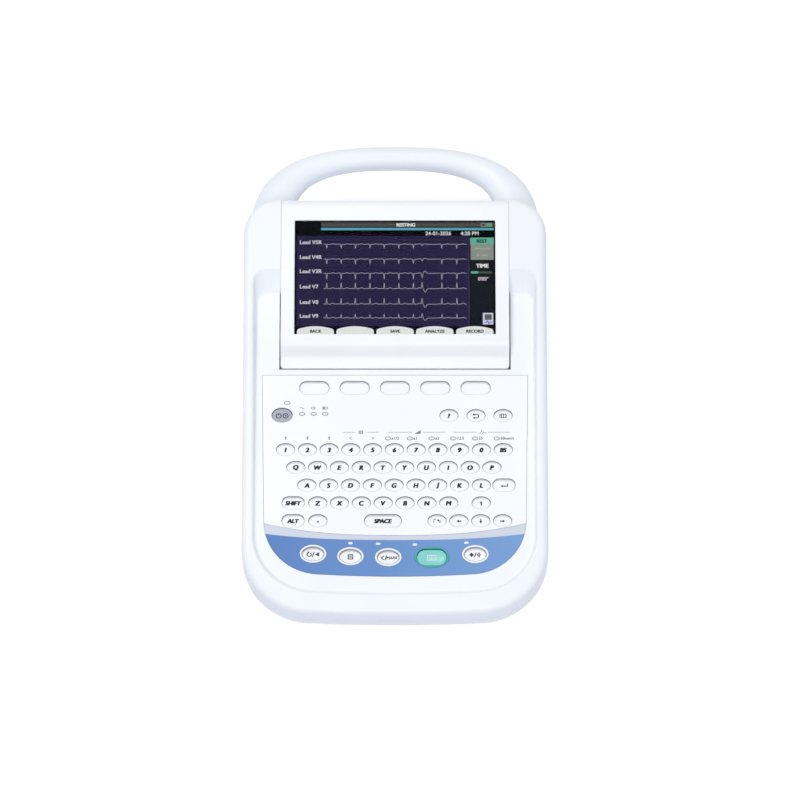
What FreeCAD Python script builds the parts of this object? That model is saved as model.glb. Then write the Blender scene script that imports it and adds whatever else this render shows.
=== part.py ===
"""Portable electrocardiograph: a wedge-shaped desktop case with a carrying loop at the rear, a sunk
keyboard deck, a flip-up display lid over a 110 mm chart recorder, and a bottom-loaded battery.

Millimetres, +X to the user's right, +Y to the rear, +Z up. The origin is the middle of the box that
the machine fills, on the table. Three working frames are used:
  case_frame  level, Y measured from the case's front edge
  deck_frame  u, v, w on the sloping keyboard deck, v from the front edge, w square to the deck
  top_frame   u, v, w on the steeper plane of the raised rear top and the display lid
"""
import FreeCAD
import Part
import math
import os

Vec = FreeCAD.Vector

# ---------------------------------------------------------------- driving dimensions
case_width = 230.0
case_depth = 330.0            # front edge to rear wall
handle_overhang = 57.5        # how far the carrying loop stands behind the rear wall
foot_height = 3.0
parting_height = 30.0         # joint between lower and upper case
deck_front_height = 42.0
deck_tilt = 4.0               # degrees
top_front_height = 44.0
top_tilt = 6.0                # degrees
wall = 2.5

case_corner_r = 52.0          # front corners, in plan
case_crown_r = 1400.0         # slight bow of the front edge
case_rear_r = 28.0
case_top_r = 5.0              # rounding of the top edge
rim_inner_r = 2.2             # rounding of the edge between the rim and the sunk deck
deck_fillet_r = 2.5           # hollow rounding at the foot of the sunk deck's walls
case_bottom_r = 24.0          # rounding of the bottom edge

side_rim = 9.5                # width of the rim beside the sunk deck
recess_half_width = case_width / 2 - side_rim
recess_front = 16.3
recess_corner_r = 45.0
recess_crown_r = 1000.0
recess_rear = 257.4
recess_rear_r = 8.0
recess_draft = 2.5            # how far its walls lean out over their height
recess_slope_run = 21.0       # length of the rear slope over the same height
recess_tool_height = 15.0

panel_margin = 7.2            # from the sunk deck's side to the keyboard console, at its front
panel_flare = 2.1             # how much wider it is at its rear, on each side
panel_half_width = recess_half_width - panel_margin
panel_rear_half_width = panel_half_width + panel_flare
panel_front = 30.5
panel_rear = 191.0
panel_corner_r = 42.0
panel_crown_r = 900.0
panel_thick = 2.4
panel_gap = 0.25
ledge_width = 3.0
ledge_thick = 2.0

trim_rear_side, trim_rear_mid = 72.6, 63.1      # the grey crescent between keyboard and blue strip
trim_front_side, trim_front_mid = 64.2, 59.2
trim_curl = 2.6               # how late its lines turn up towards their ends
trim_drop = 0.5

lid_half_width = 86.7
lid_front_v = 196.2
lid_gap = 0.9                 # beside the lid where it stands over the sunk deck, and in front of it
lid_rear_gap = 0.3            # beside the lid within the raised rear top
lid_rear_gap_v = 258.0        # where the narrow gap begins
lid_depth = 19.0              # its top face to its bottom face
lid_wall = 2.2
lid_lip_drop = 8.9            # the low lip in front of the lid's slope
lid_lip_length = 5.3
lid_slope_end_v = 218.0
barrel_r = 7.3                # round rear end of the lid, about the hinge
barrel_v = 323.3
hinge_pin_r = 2.0
hinge_pin_length = 14.0
running_gap = 0.06            # radial clearance of a shaft in its bore

screen_width, screen_height = 152.4, 91.4       # a 7 inch wide panel's picture
screen_front_v = 220.9
window_thick = 1.4
window_drop = 0.4
lcd_width, lcd_length, lcd_thick = 162.0, 96.4, 5.9

key_gap = 0.35                # all round a key in its hole
key_drop = 1.1                # a key's top lies this far under the panel
key_flange = 0.75             # how far the flange reaches under the panel
key_flange_thick = 1.0
key_flange_gap = 0.3
key_travel = 1.0
key_pitch = 16.4
row_pitch = 14.18

mat_top = -5.5
mat_thick = 1.0
board_thick = 1.6

lens_a, lens_b = 1.75, 0.95   # indicator lenses

tray_front_v, tray_rear_v = 226.0, 302.0
tray_half_width = 59.5
paper_height = 14.0
tray_wall = 1.6
frame_half_width = 62.0       # outside of the recorder's side plates
frame_plate = 2.0
frame_floor_w = -50.0
frame_front_v, frame_rear_v = 200.0, 304.0

roller_v, roller_w = 213.0, -16.5
roller_r = 6.0
roller_half_length = 56.0
roller_shaft_r = 2.5
head_gap = 0.3

gear_module = 0.8
gear_face = 5.0
gear_u = 64.0                 # left face of the gear train
platen_teeth, idler_teeth, pinion_teeth = 18, 24, 12
platen_to_idler_deg = -80.0   # direction from the platen axis to the idler axis
idler_to_pinion_deg = -20.0

battery_x0, battery_x1 = -50.0, 80.0
battery_y0, battery_y1 = 101.0, 169.0
battery_height = 20.0
bay_clear = 1.0
bay_wall = 2.0
cover_thick = 2.2
cover_margin = 5.0
cover_travel = 14.0

connector_z = 42.0            # height of the sockets' middle line
screw_r = 1.45
screw_head_r = 2.9
post_r = 4.0

# ---------------------------------------------------------------- frames
handle_reach = case_depth + handle_overhang
front_y = -handle_reach / 2.0


def frame_at(height, tilt):
    """A placement whose v axis climbs to the rear at the given tilt from the case's front edge."""
    return FreeCAD.Placement(Vec(0, front_y, height), FreeCAD.Rotation(Vec(1, 0, 0), tilt))


case_frame = frame_at(0, 0)
deck_frame = frame_at(deck_front_height, deck_tilt)
top_frame = frame_at(top_front_height, top_tilt)


def put(shape, frame):
    """The shape, modelled in a working frame, moved to the part's own frame."""
    moved = shape.copy()
    moved.Placement = frame.multiply(moved.Placement)
    return moved


def point_of(frame, u, v, w):
    """A point of a working frame in the part's own frame."""
    return frame.multVec(Vec(u, v, w))


# ---------------------------------------------------------------- small tools
def box(u0, u1, v0, v1, w0, w1, corner=0.0, edge_dir=Vec(0, 0, 1)):
    """A block between limits; corner rounds the edges that run along edge_dir."""
    block = Part.makeBox(u1 - u0, v1 - v0, w1 - w0, Vec(u0, v0, w0))
    if corner > 0:
        along = [e for e in block.Edges if abs(abs(e.tangentAt(e.FirstParameter).dot(edge_dir)) - 1) < 1e-6]
        block = block.makeFillet(corner, along)
    return block


def rod(radius, start, direction, length):
    """A round bar."""
    return Part.makeCylinder(radius, length, start, direction)


def arc(centre_u, centre_v, radius, from_deg, to_deg, w=0.0):
    """A circular edge in a plane of constant w."""
    def at(deg):
        rad = math.radians(deg)
        return Vec(centre_u + radius * math.cos(rad), centre_v + radius * math.sin(rad), w)
    return Part.Arc(at(from_deg), at((from_deg + to_deg) / 2.0), at(to_deg)).toShape()


def line(u0, v0, u1, v1, w=0.0):
    """A straight edge in a plane of constant w."""
    return Part.LineSegment(Vec(u0, v0, w), Vec(u1, v1, w)).toShape()


def tub_outline(half_width, front, corner_r, crown_r, rear, rear_r, rear_half_width=None, w=0.0):
    """Closed outline with a bowed front edge, large front corners, near-straight sides and a straight rear."""
    rear_half = half_width if rear_half_width is None else rear_half_width
    corner_u = half_width - corner_r
    corner_v = front + crown_r - math.sqrt((crown_r - corner_r) ** 2 - corner_u ** 2)
    meet = math.degrees(math.atan2(corner_v - front - crown_r, corner_u))
    edges = [
        arc(0, front + crown_r, crown_r, -180 - meet, meet, w),
        arc(corner_u, corner_v, corner_r, meet, 0, w),
        line(half_width, corner_v, rear_half, rear - rear_r, w),
    ]
    if rear_r > 0:
        edges.append(arc(rear_half - rear_r, rear - rear_r, rear_r, 0, 90, w))
    edges.append(line(rear_half - rear_r, rear, rear_r - rear_half, rear, w))
    if rear_r > 0:
        edges.append(arc(rear_r - rear_half, rear - rear_r, rear_r, 90, 180, w))
    edges.append(line(-rear_half, rear - rear_r, -half_width, corner_v, w))
    edges.append(arc(-corner_u, corner_v, corner_r, 180, 360 - 180 - meet, w))
    return Part.Wire(edges)


def pad(wire, w0, w1):
    """A flat outline drawn at w = 0, given thickness between two levels."""
    face = Part.Face(wire)
    face.translate(Vec(0, 0, w0))
    return face.extrude(Vec(0, 0, w1 - w0))


def case_outline(inset=0.0):
    """The machine's outline in plan, or one lying inset mm inside it."""
    return tub_outline(case_width / 2 - inset, inset, case_corner_r - inset, case_crown_r,
                       case_depth - inset, case_rear_r - inset)


def panel_outline(grow=0.0):
    """The keyboard console's outline, grown or shrunk all round."""
    return tub_outline(panel_half_width + grow, panel_front - grow, panel_corner_r + grow, panel_crown_r,
                       panel_rear + grow, 0.0, panel_rear_half_width + grow)


def half_space_below(frame, w):
    """Everything under a plane of a working frame, as a large block."""
    return put(box(-300, 300, -100, 500, w - 200, w), frame)


def oval(half_u, half_v):
    """An ellipse for a round key; a long key is a slot with round ends."""
    if half_u < 2.0 * half_v and half_u / half_v < 1.62:
        ellipse = Part.Ellipse(Vec(0, 0, 0), half_u, half_v)
        return Part.Wire(ellipse.toShape())
    straight = half_u - half_v
    return Part.Wire([
        line(-straight, -half_v, straight, -half_v),
        arc(straight, 0, half_v, -90, 90),
        line(straight, half_v, -straight, half_v),
        arc(-straight, 0, half_v, 90, 270),
    ])


def oval_pad(u, v, half_u, half_v, w0, w1):
    """An oval prism standing at a point of the deck."""
    solid = pad(oval(half_u, half_v), w0, w1)
    solid.translate(Vec(u, v, 0))
    return solid


def cut_all(shape, tools):
    """The shape with every tool cut from it."""
    return shape.cut(Part.makeCompound(tools)) if tools else shape


def fuse_all(shapes):
    """One solid from several that meet."""
    joined = shapes[0].fuse(shapes[1:])
    return joined.removeSplitter()


os.makedirs("parts", exist_ok=True)
built = {}


def save(name, shape):
    """Writes one sub-part: a single solid, or a group of separate solids."""
    solids = shape.Solids
    bad = [s for s in solids if not s.isValid() or s.Volume <= 0]
    if not solids or bad:
        raise RuntimeError("sub-part %s has no valid solid" % name)
    out = solids[0] if len(solids) == 1 else Part.makeCompound(solids)
    out.exportStep("parts/%s.step" % name)
    built[name] = out
    print("%-24s solids %3d  volume %9.1f" % (name, len(solids), sum(s.Volume for s in solids)))


# ---------------------------------------------------------------- where the keys stand
wide_half_u = 8.7
key_half_u, key_half_v = 7.2, 5.2
rows_v = [74.6 + row_pitch * i for i in range(5)]          # bottom row first
number_u = [-82.4 + key_pitch * i for i in range(11)]
upper_u = [-74.6 + key_pitch * i for i in range(10)]
middle_u = [-66.2 + key_pitch * i for i in range(9)]
lower_u = [-58.0 + key_pitch * i for i in range(7)]

keyboard_rows = {
    "number_row_keys": [(u, rows_v[4], key_half_u, key_half_v) for u in number_u],
    "upper_letter_keys": [(u, rows_v[3], key_half_u, key_half_v) for u in upper_u],
    "middle_letter_keys": [(u, rows_v[2], key_half_u, key_half_v) for u in middle_u]
    + [(82.0, rows_v[2], wide_half_u, key_half_v)],
    "lower_letter_keys": [(-76.4, rows_v[1], wide_half_u, key_half_v)]
    + [(u, rows_v[1], key_half_u, key_half_v) for u in lower_u] + [(64.8, rows_v[1], key_half_u, key_half_v)],
    "bottom_row_keys": [(-76.4, rows_v[0], wide_half_u, key_half_v), (-57.8, rows_v[0], key_half_u, key_half_v),
                        (-9.0, rows_v[0], 14.2, key_half_v)]
    + [(31.6 + key_pitch * i, rows_v[0], key_half_u, key_half_v) for i in range(4)],
}
soft_pitch = 30.5
single_keys = {"soft_key_%d" % (i + 1): (soft_pitch * (i - 2), 181.0, 11.4, 5.5) for i in range(5)}
single_keys["power_key"] = (-85.2, 159.0, 8.0, 6.0)
single_keys["help_key"] = (40.8, 158.7, key_half_u, key_half_v)
single_keys["page_key"] = (61.2, 158.7, key_half_u, key_half_v)
single_keys["copy_key"] = (81.6, 158.7, key_half_u, key_half_v)

ring_width = 1.7              # the collar round each key of the blue strip
strip_keys = {                # centre and the half axes of the hole in the strip
    "rhythm_key": (-61.3, 48.3, 10.0, 7.2),
    "stop_key": (-33.3, 46.4, 10.0, 7.2),
    "mark_key": (-5.0, 45.6, 10.0, 7.2),
    "record_key": (27.6, 45.7, 13.2, 8.3),
    "feed_key": (60.2, 48.0, 10.0, 7.2),
}
lens_places = [(-81.5, 168.8), (-70.1, 159.9), (-61.4, 159.9), (-52.7, 159.9)]
lens_places += [(-5.2 + key_pitch * i, 140.2) for i in range(6)]
strip_lens_places = [(-33.3, 56.7), (-12.6, 56.3), (15.0, 55.6), (53.5, 57.1)]


# ---------------------------------------------------------------- case shells
post_inset = 14.5             # from the side of the case to the middle of a post
post_places = [(case_width / 2 - post_inset, 70.0), (45.0, 12.0), (case_width / 2 - post_inset, 190.0),
               (case_width / 2 - post_inset - 1.5, case_depth - 19.0)]
post_places += [(-x, y) for x, y in post_places]
screw_seat_z = 12.5
screw_tip_z = 39.0


def middle_of(edge):
    """The point halfway along an edge."""
    return edge.valueAt((edge.FirstParameter + edge.LastParameter) / 2.0)


def recess_tool(grow=0.0, floor=0.0, fillet=0.0):
    """The block that sinks the deck: leaning walls and a long slope up to the raised rear top."""
    low = tub_outline(recess_half_width + grow, recess_front - grow, recess_corner_r, recess_crown_r,
                      recess_rear + grow, recess_rear_r, w=floor)
    high = tub_outline(recess_half_width + grow + recess_draft, recess_front - grow - recess_draft,
                       recess_corner_r + recess_draft, recess_crown_r,
                       recess_rear + grow + recess_slope_run, recess_rear_r + recess_draft,
                       w=floor + recess_tool_height)
    tool = Part.makeLoft([low, high], True, True)
    if fillet > 0:
        tool = tool.makeFillet(fillet, [e for e in tool.Edges if abs(e.BoundBox.ZMax - floor) < 1e-6])
    return put(tool, deck_frame)


def bay_tool(grow, bottom):
    """The well in the top that the display lid closes."""
    half = lid_half_width + lid_gap + grow
    return put(box(-half, half, lid_front_v - lid_gap - grow, case_depth + 30, bottom, 40), top_frame)


def parting_groove():
    """A shallow line round the outside where the two case halves meet."""
    depth, half = 0.6, 0.35
    ring = pad(case_outline(), parting_height - half, parting_height + half)
    core = pad(case_outline(depth), parting_height - 1, parting_height + 1)
    return put(ring.cut(core), case_frame)


def side_socket_hole(side, y, half_y, half_z, z=connector_z):
    """A rectangular opening through one side wall, for a socket."""
    x = side * case_width / 2
    hole = box(min(x - side * 10, x + side * 2), max(x - side * 10, x + side * 2), y - half_y, y + half_y,
               z - half_z, z + half_z, 1.0, Vec(1, 0, 0))
    return put(hole, case_frame)


inlet_y, inlet_half_y, inlet_half_z = 289.0, 14.0, 10.5
patient_y, patient_half_y, patient_half_z = 236.0, 24.0, 10.0
lan_x, lan_half_x, lan_half_z = 30.0, 8.2, 7.2
usb_x = [50.0, 66.0]
usb_half_x, usb_half_z = 6.9, 3.4
handle_screw_x, handle_screw_z = 82.0, [38.0, 51.0]


def rear_holes():
    """Openings through the rear wall for the sockets and the handle's screws."""
    y0, y1 = case_depth - 12, case_depth + 4
    cuts = [box(lan_x - lan_half_x, lan_x + lan_half_x, y0, y1, connector_z - lan_half_z, connector_z + lan_half_z)]
    for x in usb_x:
        cuts.append(box(x - usb_half_x, x + usb_half_x, y0, y1, connector_z - usb_half_z, connector_z + usb_half_z))
    for side in (-1, 1):
        for z in handle_screw_z:
            cuts.append(rod(screw_r + running_gap, Vec(side * handle_screw_x, y0, z), Vec(0, 1, 0), y1 - y0))
    return [put(c, case_frame) for c in cuts]


def make_upper_case():
    """Top shell: raised rim and rear top, sunk deck, well for the lid, ledge for the keyboard console."""
    outer = put(pad(case_outline(), parting_height, parting_height + 80), case_frame)
    outer = outer.common(half_space_below(top_frame, 0))
    top_face = max(outer.Faces, key=lambda f: f.CenterOfMass.z)
    outer = outer.makeFillet(case_top_r, top_face.Edges)
    rim_before = [middle_of(e) for e in outer.Edges]
    outer = outer.cut(recess_tool(fillet=deck_fillet_r))
    level = top_frame.inverse()
    rim_edges = [e for e in outer.Edges if abs(level.multVec(middle_of(e)).z) < 1e-3
                 and abs(level.multVec(e.valueAt(e.FirstParameter)).z) < 1e-3
                 and min(middle_of(e).distanceToPoint(p) for p in rim_before) > 0.5]
    outer = outer.makeFillet(rim_inner_r, rim_edges)

    inner = put(pad(case_outline(wall), parting_height - 5, parting_height + 80), case_frame)
    inner = inner.common(half_space_below(top_frame, -wall))
    inner = inner.cut(recess_tool(wall, -wall))
    cheek = put(box(-300, 300, -100, 500, -23.0, 60), top_frame).common(bay_tool(lid_wall, -23.0))
    inner = inner.cut(cheek)
    wide, narrow = lid_half_width + lid_gap, lid_half_width + lid_rear_gap
    well_front = box(-wide, wide, lid_front_v - lid_gap, lid_rear_gap_v, -80, 40)
    well_middle = box(-narrow, narrow, lid_rear_gap_v - 5, barrel_v - 0.2 * barrel_r, -80, 40)
    well_rear = box(-narrow, narrow, lid_rear_gap_v - 5, case_depth + 30, -2 * barrel_r - lid_gap, 40)
    well = put(fuse_all([well_front, well_middle, well_rear]), top_frame)
    shell = outer.cut(well).cut(inner)

    ledge = pad(panel_outline(2.5), -panel_thick - ledge_thick, -panel_thick)
    ledge = ledge.cut(pad(panel_outline(-ledge_width), -panel_thick - ledge_thick - 1, 0))
    ledge = put(ledge, deck_frame)
    bosses = [put(rod(post_r, Vec(x, y, parting_height), Vec(0, 0, 1), 70), case_frame).common(outer)
              for x, y in post_places]
    shell = fuse_all([shell, ledge] + bosses)

    axis = point_of(top_frame, 0, barrel_v, -barrel_r)
    pin_span = 2 * (lid_half_width + hinge_pin_length)
    pin_hole = rod(hinge_pin_r + 0.02, Vec(-pin_span / 2, axis.y, axis.z), Vec(1, 0, 0), pin_span)
    console_hole = put(pad(panel_outline(panel_gap), -panel_thick, 20), deck_frame)
    console_well = put(pad(panel_outline(-ledge_width), -20, 1), deck_frame)
    cuts = [pin_hole, console_hole, console_well, parting_groove()]
    cuts.append(side_socket_hole(-1, inlet_y, inlet_half_y, inlet_half_z))
    cuts.append(side_socket_hole(1, patient_y, patient_half_y, patient_half_z))
    cuts += rear_holes()
    for x, y in post_places:
        pilot = rod(screw_r + running_gap, Vec(x, y, parting_height - 1), Vec(0, 0, 1),
                    screw_tip_z + 0.5 - parting_height + 1)
        cuts.append(put(pilot, case_frame))
    for tool in cuts:
        shell = shell.cut(tool)
    return max(shell.Solids, key=lambda s: s.Volume)


frame_post_places = [(-50.0, 216.0), (50.0, 216.0), (-50.0, 298.0), (50.0, 298.0)]
main_board_posts = [(-84.0, 34.0), (84.0, 34.0), (-84.0, 84.0), (84.0, 84.0)]
main_board_z = 10.0
amp_board_posts = [(70.0, 202.0), (98.0, 202.0), (70.0, 292.0), (98.0, 292.0)]
amp_board_z = 10.0
speaker_x, speaker_y, speaker_r = -73.5, 135.0, 15.0
foot_places = [(-74.0, 50.0), (74.0, 50.0), (-80.0, 290.0), (80.0, 290.0)]
foot_r, foot_seat_depth = 8.0, 1.0
floor_z = foot_height + wall


def battery_block(margin, z0, z1, corner=0.0):
    """A block round the battery's footprint."""
    return box(battery_x0 - margin, battery_x1 + margin, battery_y0 - margin, battery_y1 + margin, z0, z1, corner)


def cover_block(slide, grow=0.0):
    """The battery cover's plate; slide lengthens it towards the rear, for its runway."""
    return box(battery_x0 - cover_margin - grow, battery_x1 + cover_margin + grow,
               battery_y0 - cover_margin - grow, battery_y1 + cover_margin + grow + slide,
               foot_height, foot_height + cover_thick + grow, 0.0)


def make_lower_case():
    """Bottom tray: rounded bottom edge, screw posts, battery bay, board posts and recorder posts."""
    outer = pad(case_outline(), foot_height, parting_height)
    bottom = min(outer.Faces, key=lambda f: f.CenterOfMass.z)
    outer = outer.makeFillet(case_bottom_r, bottom.Edges)
    inner = pad(case_outline(wall), floor_z, parting_height + 10)
    bottom = min(inner.Faces, key=lambda f: f.CenterOfMass.z)
    inner = inner.makeFillet(case_bottom_r - wall, bottom.Edges)
    bay_top = foot_height + cover_thick + battery_height + 2.5
    adds = [outer.cut(inner), battery_block(bay_clear + bay_wall, floor_z - 1, bay_top)]
    runway = cover_block(cover_travel, 0.3)
    adds.append(box(battery_x0 - cover_margin - 2.5, battery_x1 + cover_margin + 2.5,
                    battery_y0 - cover_margin - 2.5, battery_y1 + cover_margin + cover_travel + 2.5,
                    foot_height + 0.5, foot_height + cover_thick + 2.3))
    adds += [rod(post_r, Vec(x, y, foot_height), Vec(0, 0, 1), parting_height - foot_height).common(outer)
             for x, y in post_places]
    board_posts = [(x, y, main_board_z) for x, y in main_board_posts] + [(x, y, amp_board_z) for x, y in amp_board_posts]
    adds += [rod(3.0, Vec(x, y, foot_height), Vec(0, 0, 1), top - foot_height).common(outer) for x, y, top in board_posts]
    ring = rod(speaker_r + 2.0, Vec(speaker_x, speaker_y, floor_z - 1), Vec(0, 0, 1), 5.0)
    adds.append(ring.cut(rod(speaker_r + 0.2, Vec(speaker_x, speaker_y, floor_z - 2), Vec(0, 0, 1), 8.0)))
    under_frame = half_space_below(top_frame, frame_floor_w)
    under_frame.translate(Vec(0, -front_y, 0))
    adds += [rod(post_r, Vec(x, y, floor_z - 1), Vec(0, 0, 1), 60).common(under_frame) for x, y in frame_post_places]
    shell = fuse_all(adds)

    cuts = [runway, battery_block(bay_clear, foot_height + 1, bay_top - 2.0)]
    for x, y in post_places:
        cuts.append(rod(screw_head_r + 0.4, Vec(x, y, -5), Vec(0, 0, 1), screw_seat_z + 5))
        cuts.append(rod(screw_r + 0.3, Vec(x, y, -5), Vec(0, 0, 1), 60))
    for x, y in foot_places:
        cuts.append(rod(foot_r + 0.1, Vec(x, y, foot_height - 5), Vec(0, 0, 1), foot_seat_depth + 5))
    for i in range(5):
        y = speaker_y + 4.5 * (i - 2)
        cuts.append(box(speaker_x - 9, speaker_x + 9, y - 0.9, y + 0.9, 0, floor_z + 1))
    for tool in cuts:
        shell = shell.cut(tool)
    shell = put(shell, case_frame).cut(parting_groove())
    return max(shell.Solids, key=lambda s: s.Volume)


def cut_by_case(shape):
    """The shape less what lies inside the case's outer form."""
    body = put(pad(case_outline(), foot_height, parting_height + 80), case_frame)
    return shape.cut(body)


# ---------------------------------------------------------------- carrying loop
loop_lag = 0.44               # the smooth bar runs this far inside its control points at the middle
loop_grip = 18.0              # width of the bar at its middle
loop_side_inset = 3.2         # its outer side from the side of the case
loop_arm = 34.8               # width of an arm where it leaves the case
loop_outer_start, loop_inner_start = case_depth - 26.0, case_depth - 4.0
loop_outer = (case_width / 2 - loop_side_inset, loop_outer_start,
              handle_reach - loop_outer_start + loop_lag, 2.8)     # half width, start, reach, roundness
loop_inner = (loop_outer[0] - loop_arm, loop_inner_start, handle_reach - loop_grip - loop_inner_start, 2.7)
loop_z = 46.0
loop_half_height_mid, loop_half_height_arm = 9.3, 13.5
handle_wall = 2.4


def loop_point(curve, theta):
    """A point of a rounded-off ellipse in plan, theta 0 at the arm and 90 degrees at the middle."""
    half, start, reach, power = curve
    return Vec(half * math.cos(theta) ** (2 / power), start + reach * math.sin(theta) ** (2 / power), 0)


def loop_solid(inset):
    """The whole loop as one smooth bar of oval section; inset makes the hollow inside it."""
    steps = [1.5, 6, 14, 23, 33, 44, 55, 67, 79]
    sections = [(d, -1) for d in steps] + [(90, 0)] + [(d, 1) for d in reversed(steps)]
    around = 12
    swell = 3.0 / (2.0 + math.cos(2 * math.pi / around))      # control points stand a little outside the oval
    poles = []
    for degrees, side in sections:
        theta = math.radians(degrees)
        out_pt, in_pt = loop_point(loop_outer, theta), loop_point(loop_inner, theta)
        out_pt.x, in_pt.x = out_pt.x * side, in_pt.x * side
        half_height = loop_half_height_arm + (loop_half_height_mid - loop_half_height_arm) * math.sin(theta)
        middle = (out_pt + in_pt) * 0.5 + Vec(0, 0, loop_z)
        across = (out_pt - in_pt) * 0.5
        half_width = (across.Length - inset) * swell
        across.normalize()
        high = Vec(0, 0, (half_height - inset) * swell)
        ring = [middle - across * (half_width * math.cos(2 * math.pi * k / around))
                + high * math.sin(2 * math.pi * k / around) for k in range(around)]
        poles.append(ring)
    count = len(poles)
    surface = Part.BSplineSurface()
    surface.buildFromPolesMultsKnots(poles, [4] + [1] * (count - 4) + [4], [1] * (around + 1),
                                     [float(k) for k in range(count - 2)], [float(k) for k in range(around + 1)],
                                     False, True, 3, 3)
    side_face = surface.toShape()
    ends = [Part.Face(Part.Wire(surface.uIso(k).toShape())) for k in (0.0, float(count - 3))]
    shell = Part.makeCompound([side_face] + ends)
    shell.sewShape()
    solid = Part.makeSolid(shell.Shells[0])
    if solid.Volume < 0:
        solid.reverse()
    return solid


def make_handle():
    """Top and bottom shells of the carrying loop, each with two screw bosses at the case's rear wall."""
    outer = loop_solid(0.0)
    inner = loop_solid(handle_wall)
    bosses = []
    for side in (-1, 1):
        for z in handle_screw_z:
            boss = rod(4.0, Vec(side * handle_screw_x, case_depth - 1, z), Vec(0, 1, 0), 15)
            bosses.append(boss.common(outer))
    walls = fuse_all([outer.cut(inner)] + bosses)
    for side in (-1, 1):
        for z in handle_screw_z:
            walls = walls.cut(rod(screw_r + running_gap, Vec(side * handle_screw_x, case_depth - 2, z),
                                  Vec(0, 1, 0), 13))
    walls = cut_by_case(put(walls, case_frame))
    upper = walls.common(put(box(-300, 300, 0, 500, loop_z, 200), case_frame))
    lower = walls.common(put(box(-300, 300, 0, 500, -100, loop_z), case_frame))
    return max(upper.Solids, key=lambda s: s.Volume), max(lower.Solids, key=lambda s: s.Volume)


# ---------------------------------------------------------------- keyboard console
def bowed_edge(u0, side, mid, u1):
    """An edge from u0 to u1 whose ends stand at side and whose middle stands at mid."""
    if abs(side - mid) < 0.01:
        return line(u0, side, u1, side)
    steps = 16
    curve = Part.BSplineCurve()
    curve.interpolate([Vec(u0 + (u1 - u0) * k / steps, mid + (side - mid) * abs(2 * k / steps - 1) ** trim_curl, 0)
                       for k in range(steps + 1)])
    return curve.toShape()


def curved_band(front_side, front_mid, rear_side, rear_mid, w0, w1):
    """A band across the console between two bowed lines."""
    half = panel_rear_half_width + 20
    stretch = (half / panel_half_width) ** trim_curl
    f_side = front_mid + (front_side - front_mid) * stretch
    r_side = rear_mid + (rear_side - rear_mid) * stretch
    edges = [bowed_edge(-half, f_side, front_mid, half), line(half, f_side, half, r_side),
             bowed_edge(half, r_side, rear_mid, -half), line(-half, r_side, -half, f_side)]
    return pad(Part.Wire(edges), w0, w1)


def hole_tools(places, grow=0.0, w0=-20.0, w1=20.0):
    """Oval cutters at key places."""
    return [oval_pad(u, v, a + grow, b + grow, w0, w1) for u, v, a, b in places]


def lens_holes(places):
    """Cutters for the indicator lenses."""
    return [oval_pad(u, v, lens_a + 0.05, lens_b + 0.05, -20, 20) for u, v in places]


stud_places = [(-92.0, 150.0), (92.0, 150.0), (-92.0, 95.0), (92.0, 95.0), (-46.0, 170.5), (46.0, 170.5)]
board_top = mat_top - mat_thick
stud_r = 1.6


def make_console():
    """Keyboard panel, grey crescent and blue strip, which lie flush in the deck."""
    plate = pad(panel_outline(), -panel_thick, 0)
    keyboard_zone = curved_band(trim_rear_side, trim_rear_mid, 400, 400, -10, 10)
    strip_zone = curved_band(-200, -200, trim_front_side, trim_front_mid, -10, 10)
    trim_zone = curved_band(trim_front_side, trim_front_mid, trim_rear_side, trim_rear_mid, -10, -trim_drop)
    keyboard_panel = plate.common(keyboard_zone)
    strip = plate.common(strip_zone)
    trim = plate.common(trim_zone)

    places = [k for row in keyboard_rows.values() for k in row] + list(single_keys.values())
    keyboard_panel = cut_all(keyboard_panel, hole_tools(places) + lens_holes(lens_places))
    studs = [rod(stud_r, Vec(u, v, board_top), Vec(0, 0, 1), -panel_thick - board_top) for u, v in stud_places]
    keyboard_panel = fuse_all([keyboard_panel] + studs)
    strip = cut_all(strip, hole_tools(strip_keys.values()) + lens_holes(strip_lens_places))
    return keyboard_panel, trim, strip


def make_collars():
    """Raised rings round the keys of the blue strip: four white, one green."""
    rings = {}
    for name, (u, v, a, b) in strip_keys.items():
        ring = oval_pad(u, v, a - 0.05, b - 0.05, -panel_thick, 0.5)
        top = [e for e in ring.Edges if abs(e.BoundBox.ZMin - 0.5) < 1e-6 and abs(e.BoundBox.ZMax - 0.5) < 1e-6]
        ring = ring.makeFillet(0.35, top)
        rings[name] = ring.cut(oval_pad(u, v, a - ring_width, b - ring_width, -10, 10))
    green = rings.pop("record_key")
    return Part.makeCompound(list(rings.values())), green


def make_key(u, v, hole_a, hole_b, top, dish=0.0):
    """One key cap: oval body in its hole, flange under the panel, softened rim, dished top."""
    flange_top = -panel_thick - key_flange_gap
    a, b = hole_a - key_gap, hole_b - key_gap
    cap = pad(oval(a, b), flange_top - key_flange_thick, top)
    rim = [e for e in cap.Edges if abs(e.BoundBox.ZMin - top) < 1e-6 and abs(e.BoundBox.ZMax - top) < 1e-6]
    cap = cap.makeFillet(0.45, rim)
    flange = pad(oval(hole_a + key_flange, hole_b + key_flange), flange_top - key_flange_thick, flange_top)
    cap = cap.fuse(flange).removeSplitter()
    if dish > 0:
        reach = b * 0.82
        ball_r = (reach ** 2 + dish ** 2) / (2 * dish)
        stretch = FreeCAD.Matrix()
        stretch.A11 = a / b
        ball = Part.makeSphere(ball_r).transformGeometry(stretch)
        ball.translate(Vec(0, 0, top + ball_r - dish))
        cap = cap.cut(ball)
    cap.translate(Vec(u, v, 0))
    return cap


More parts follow.
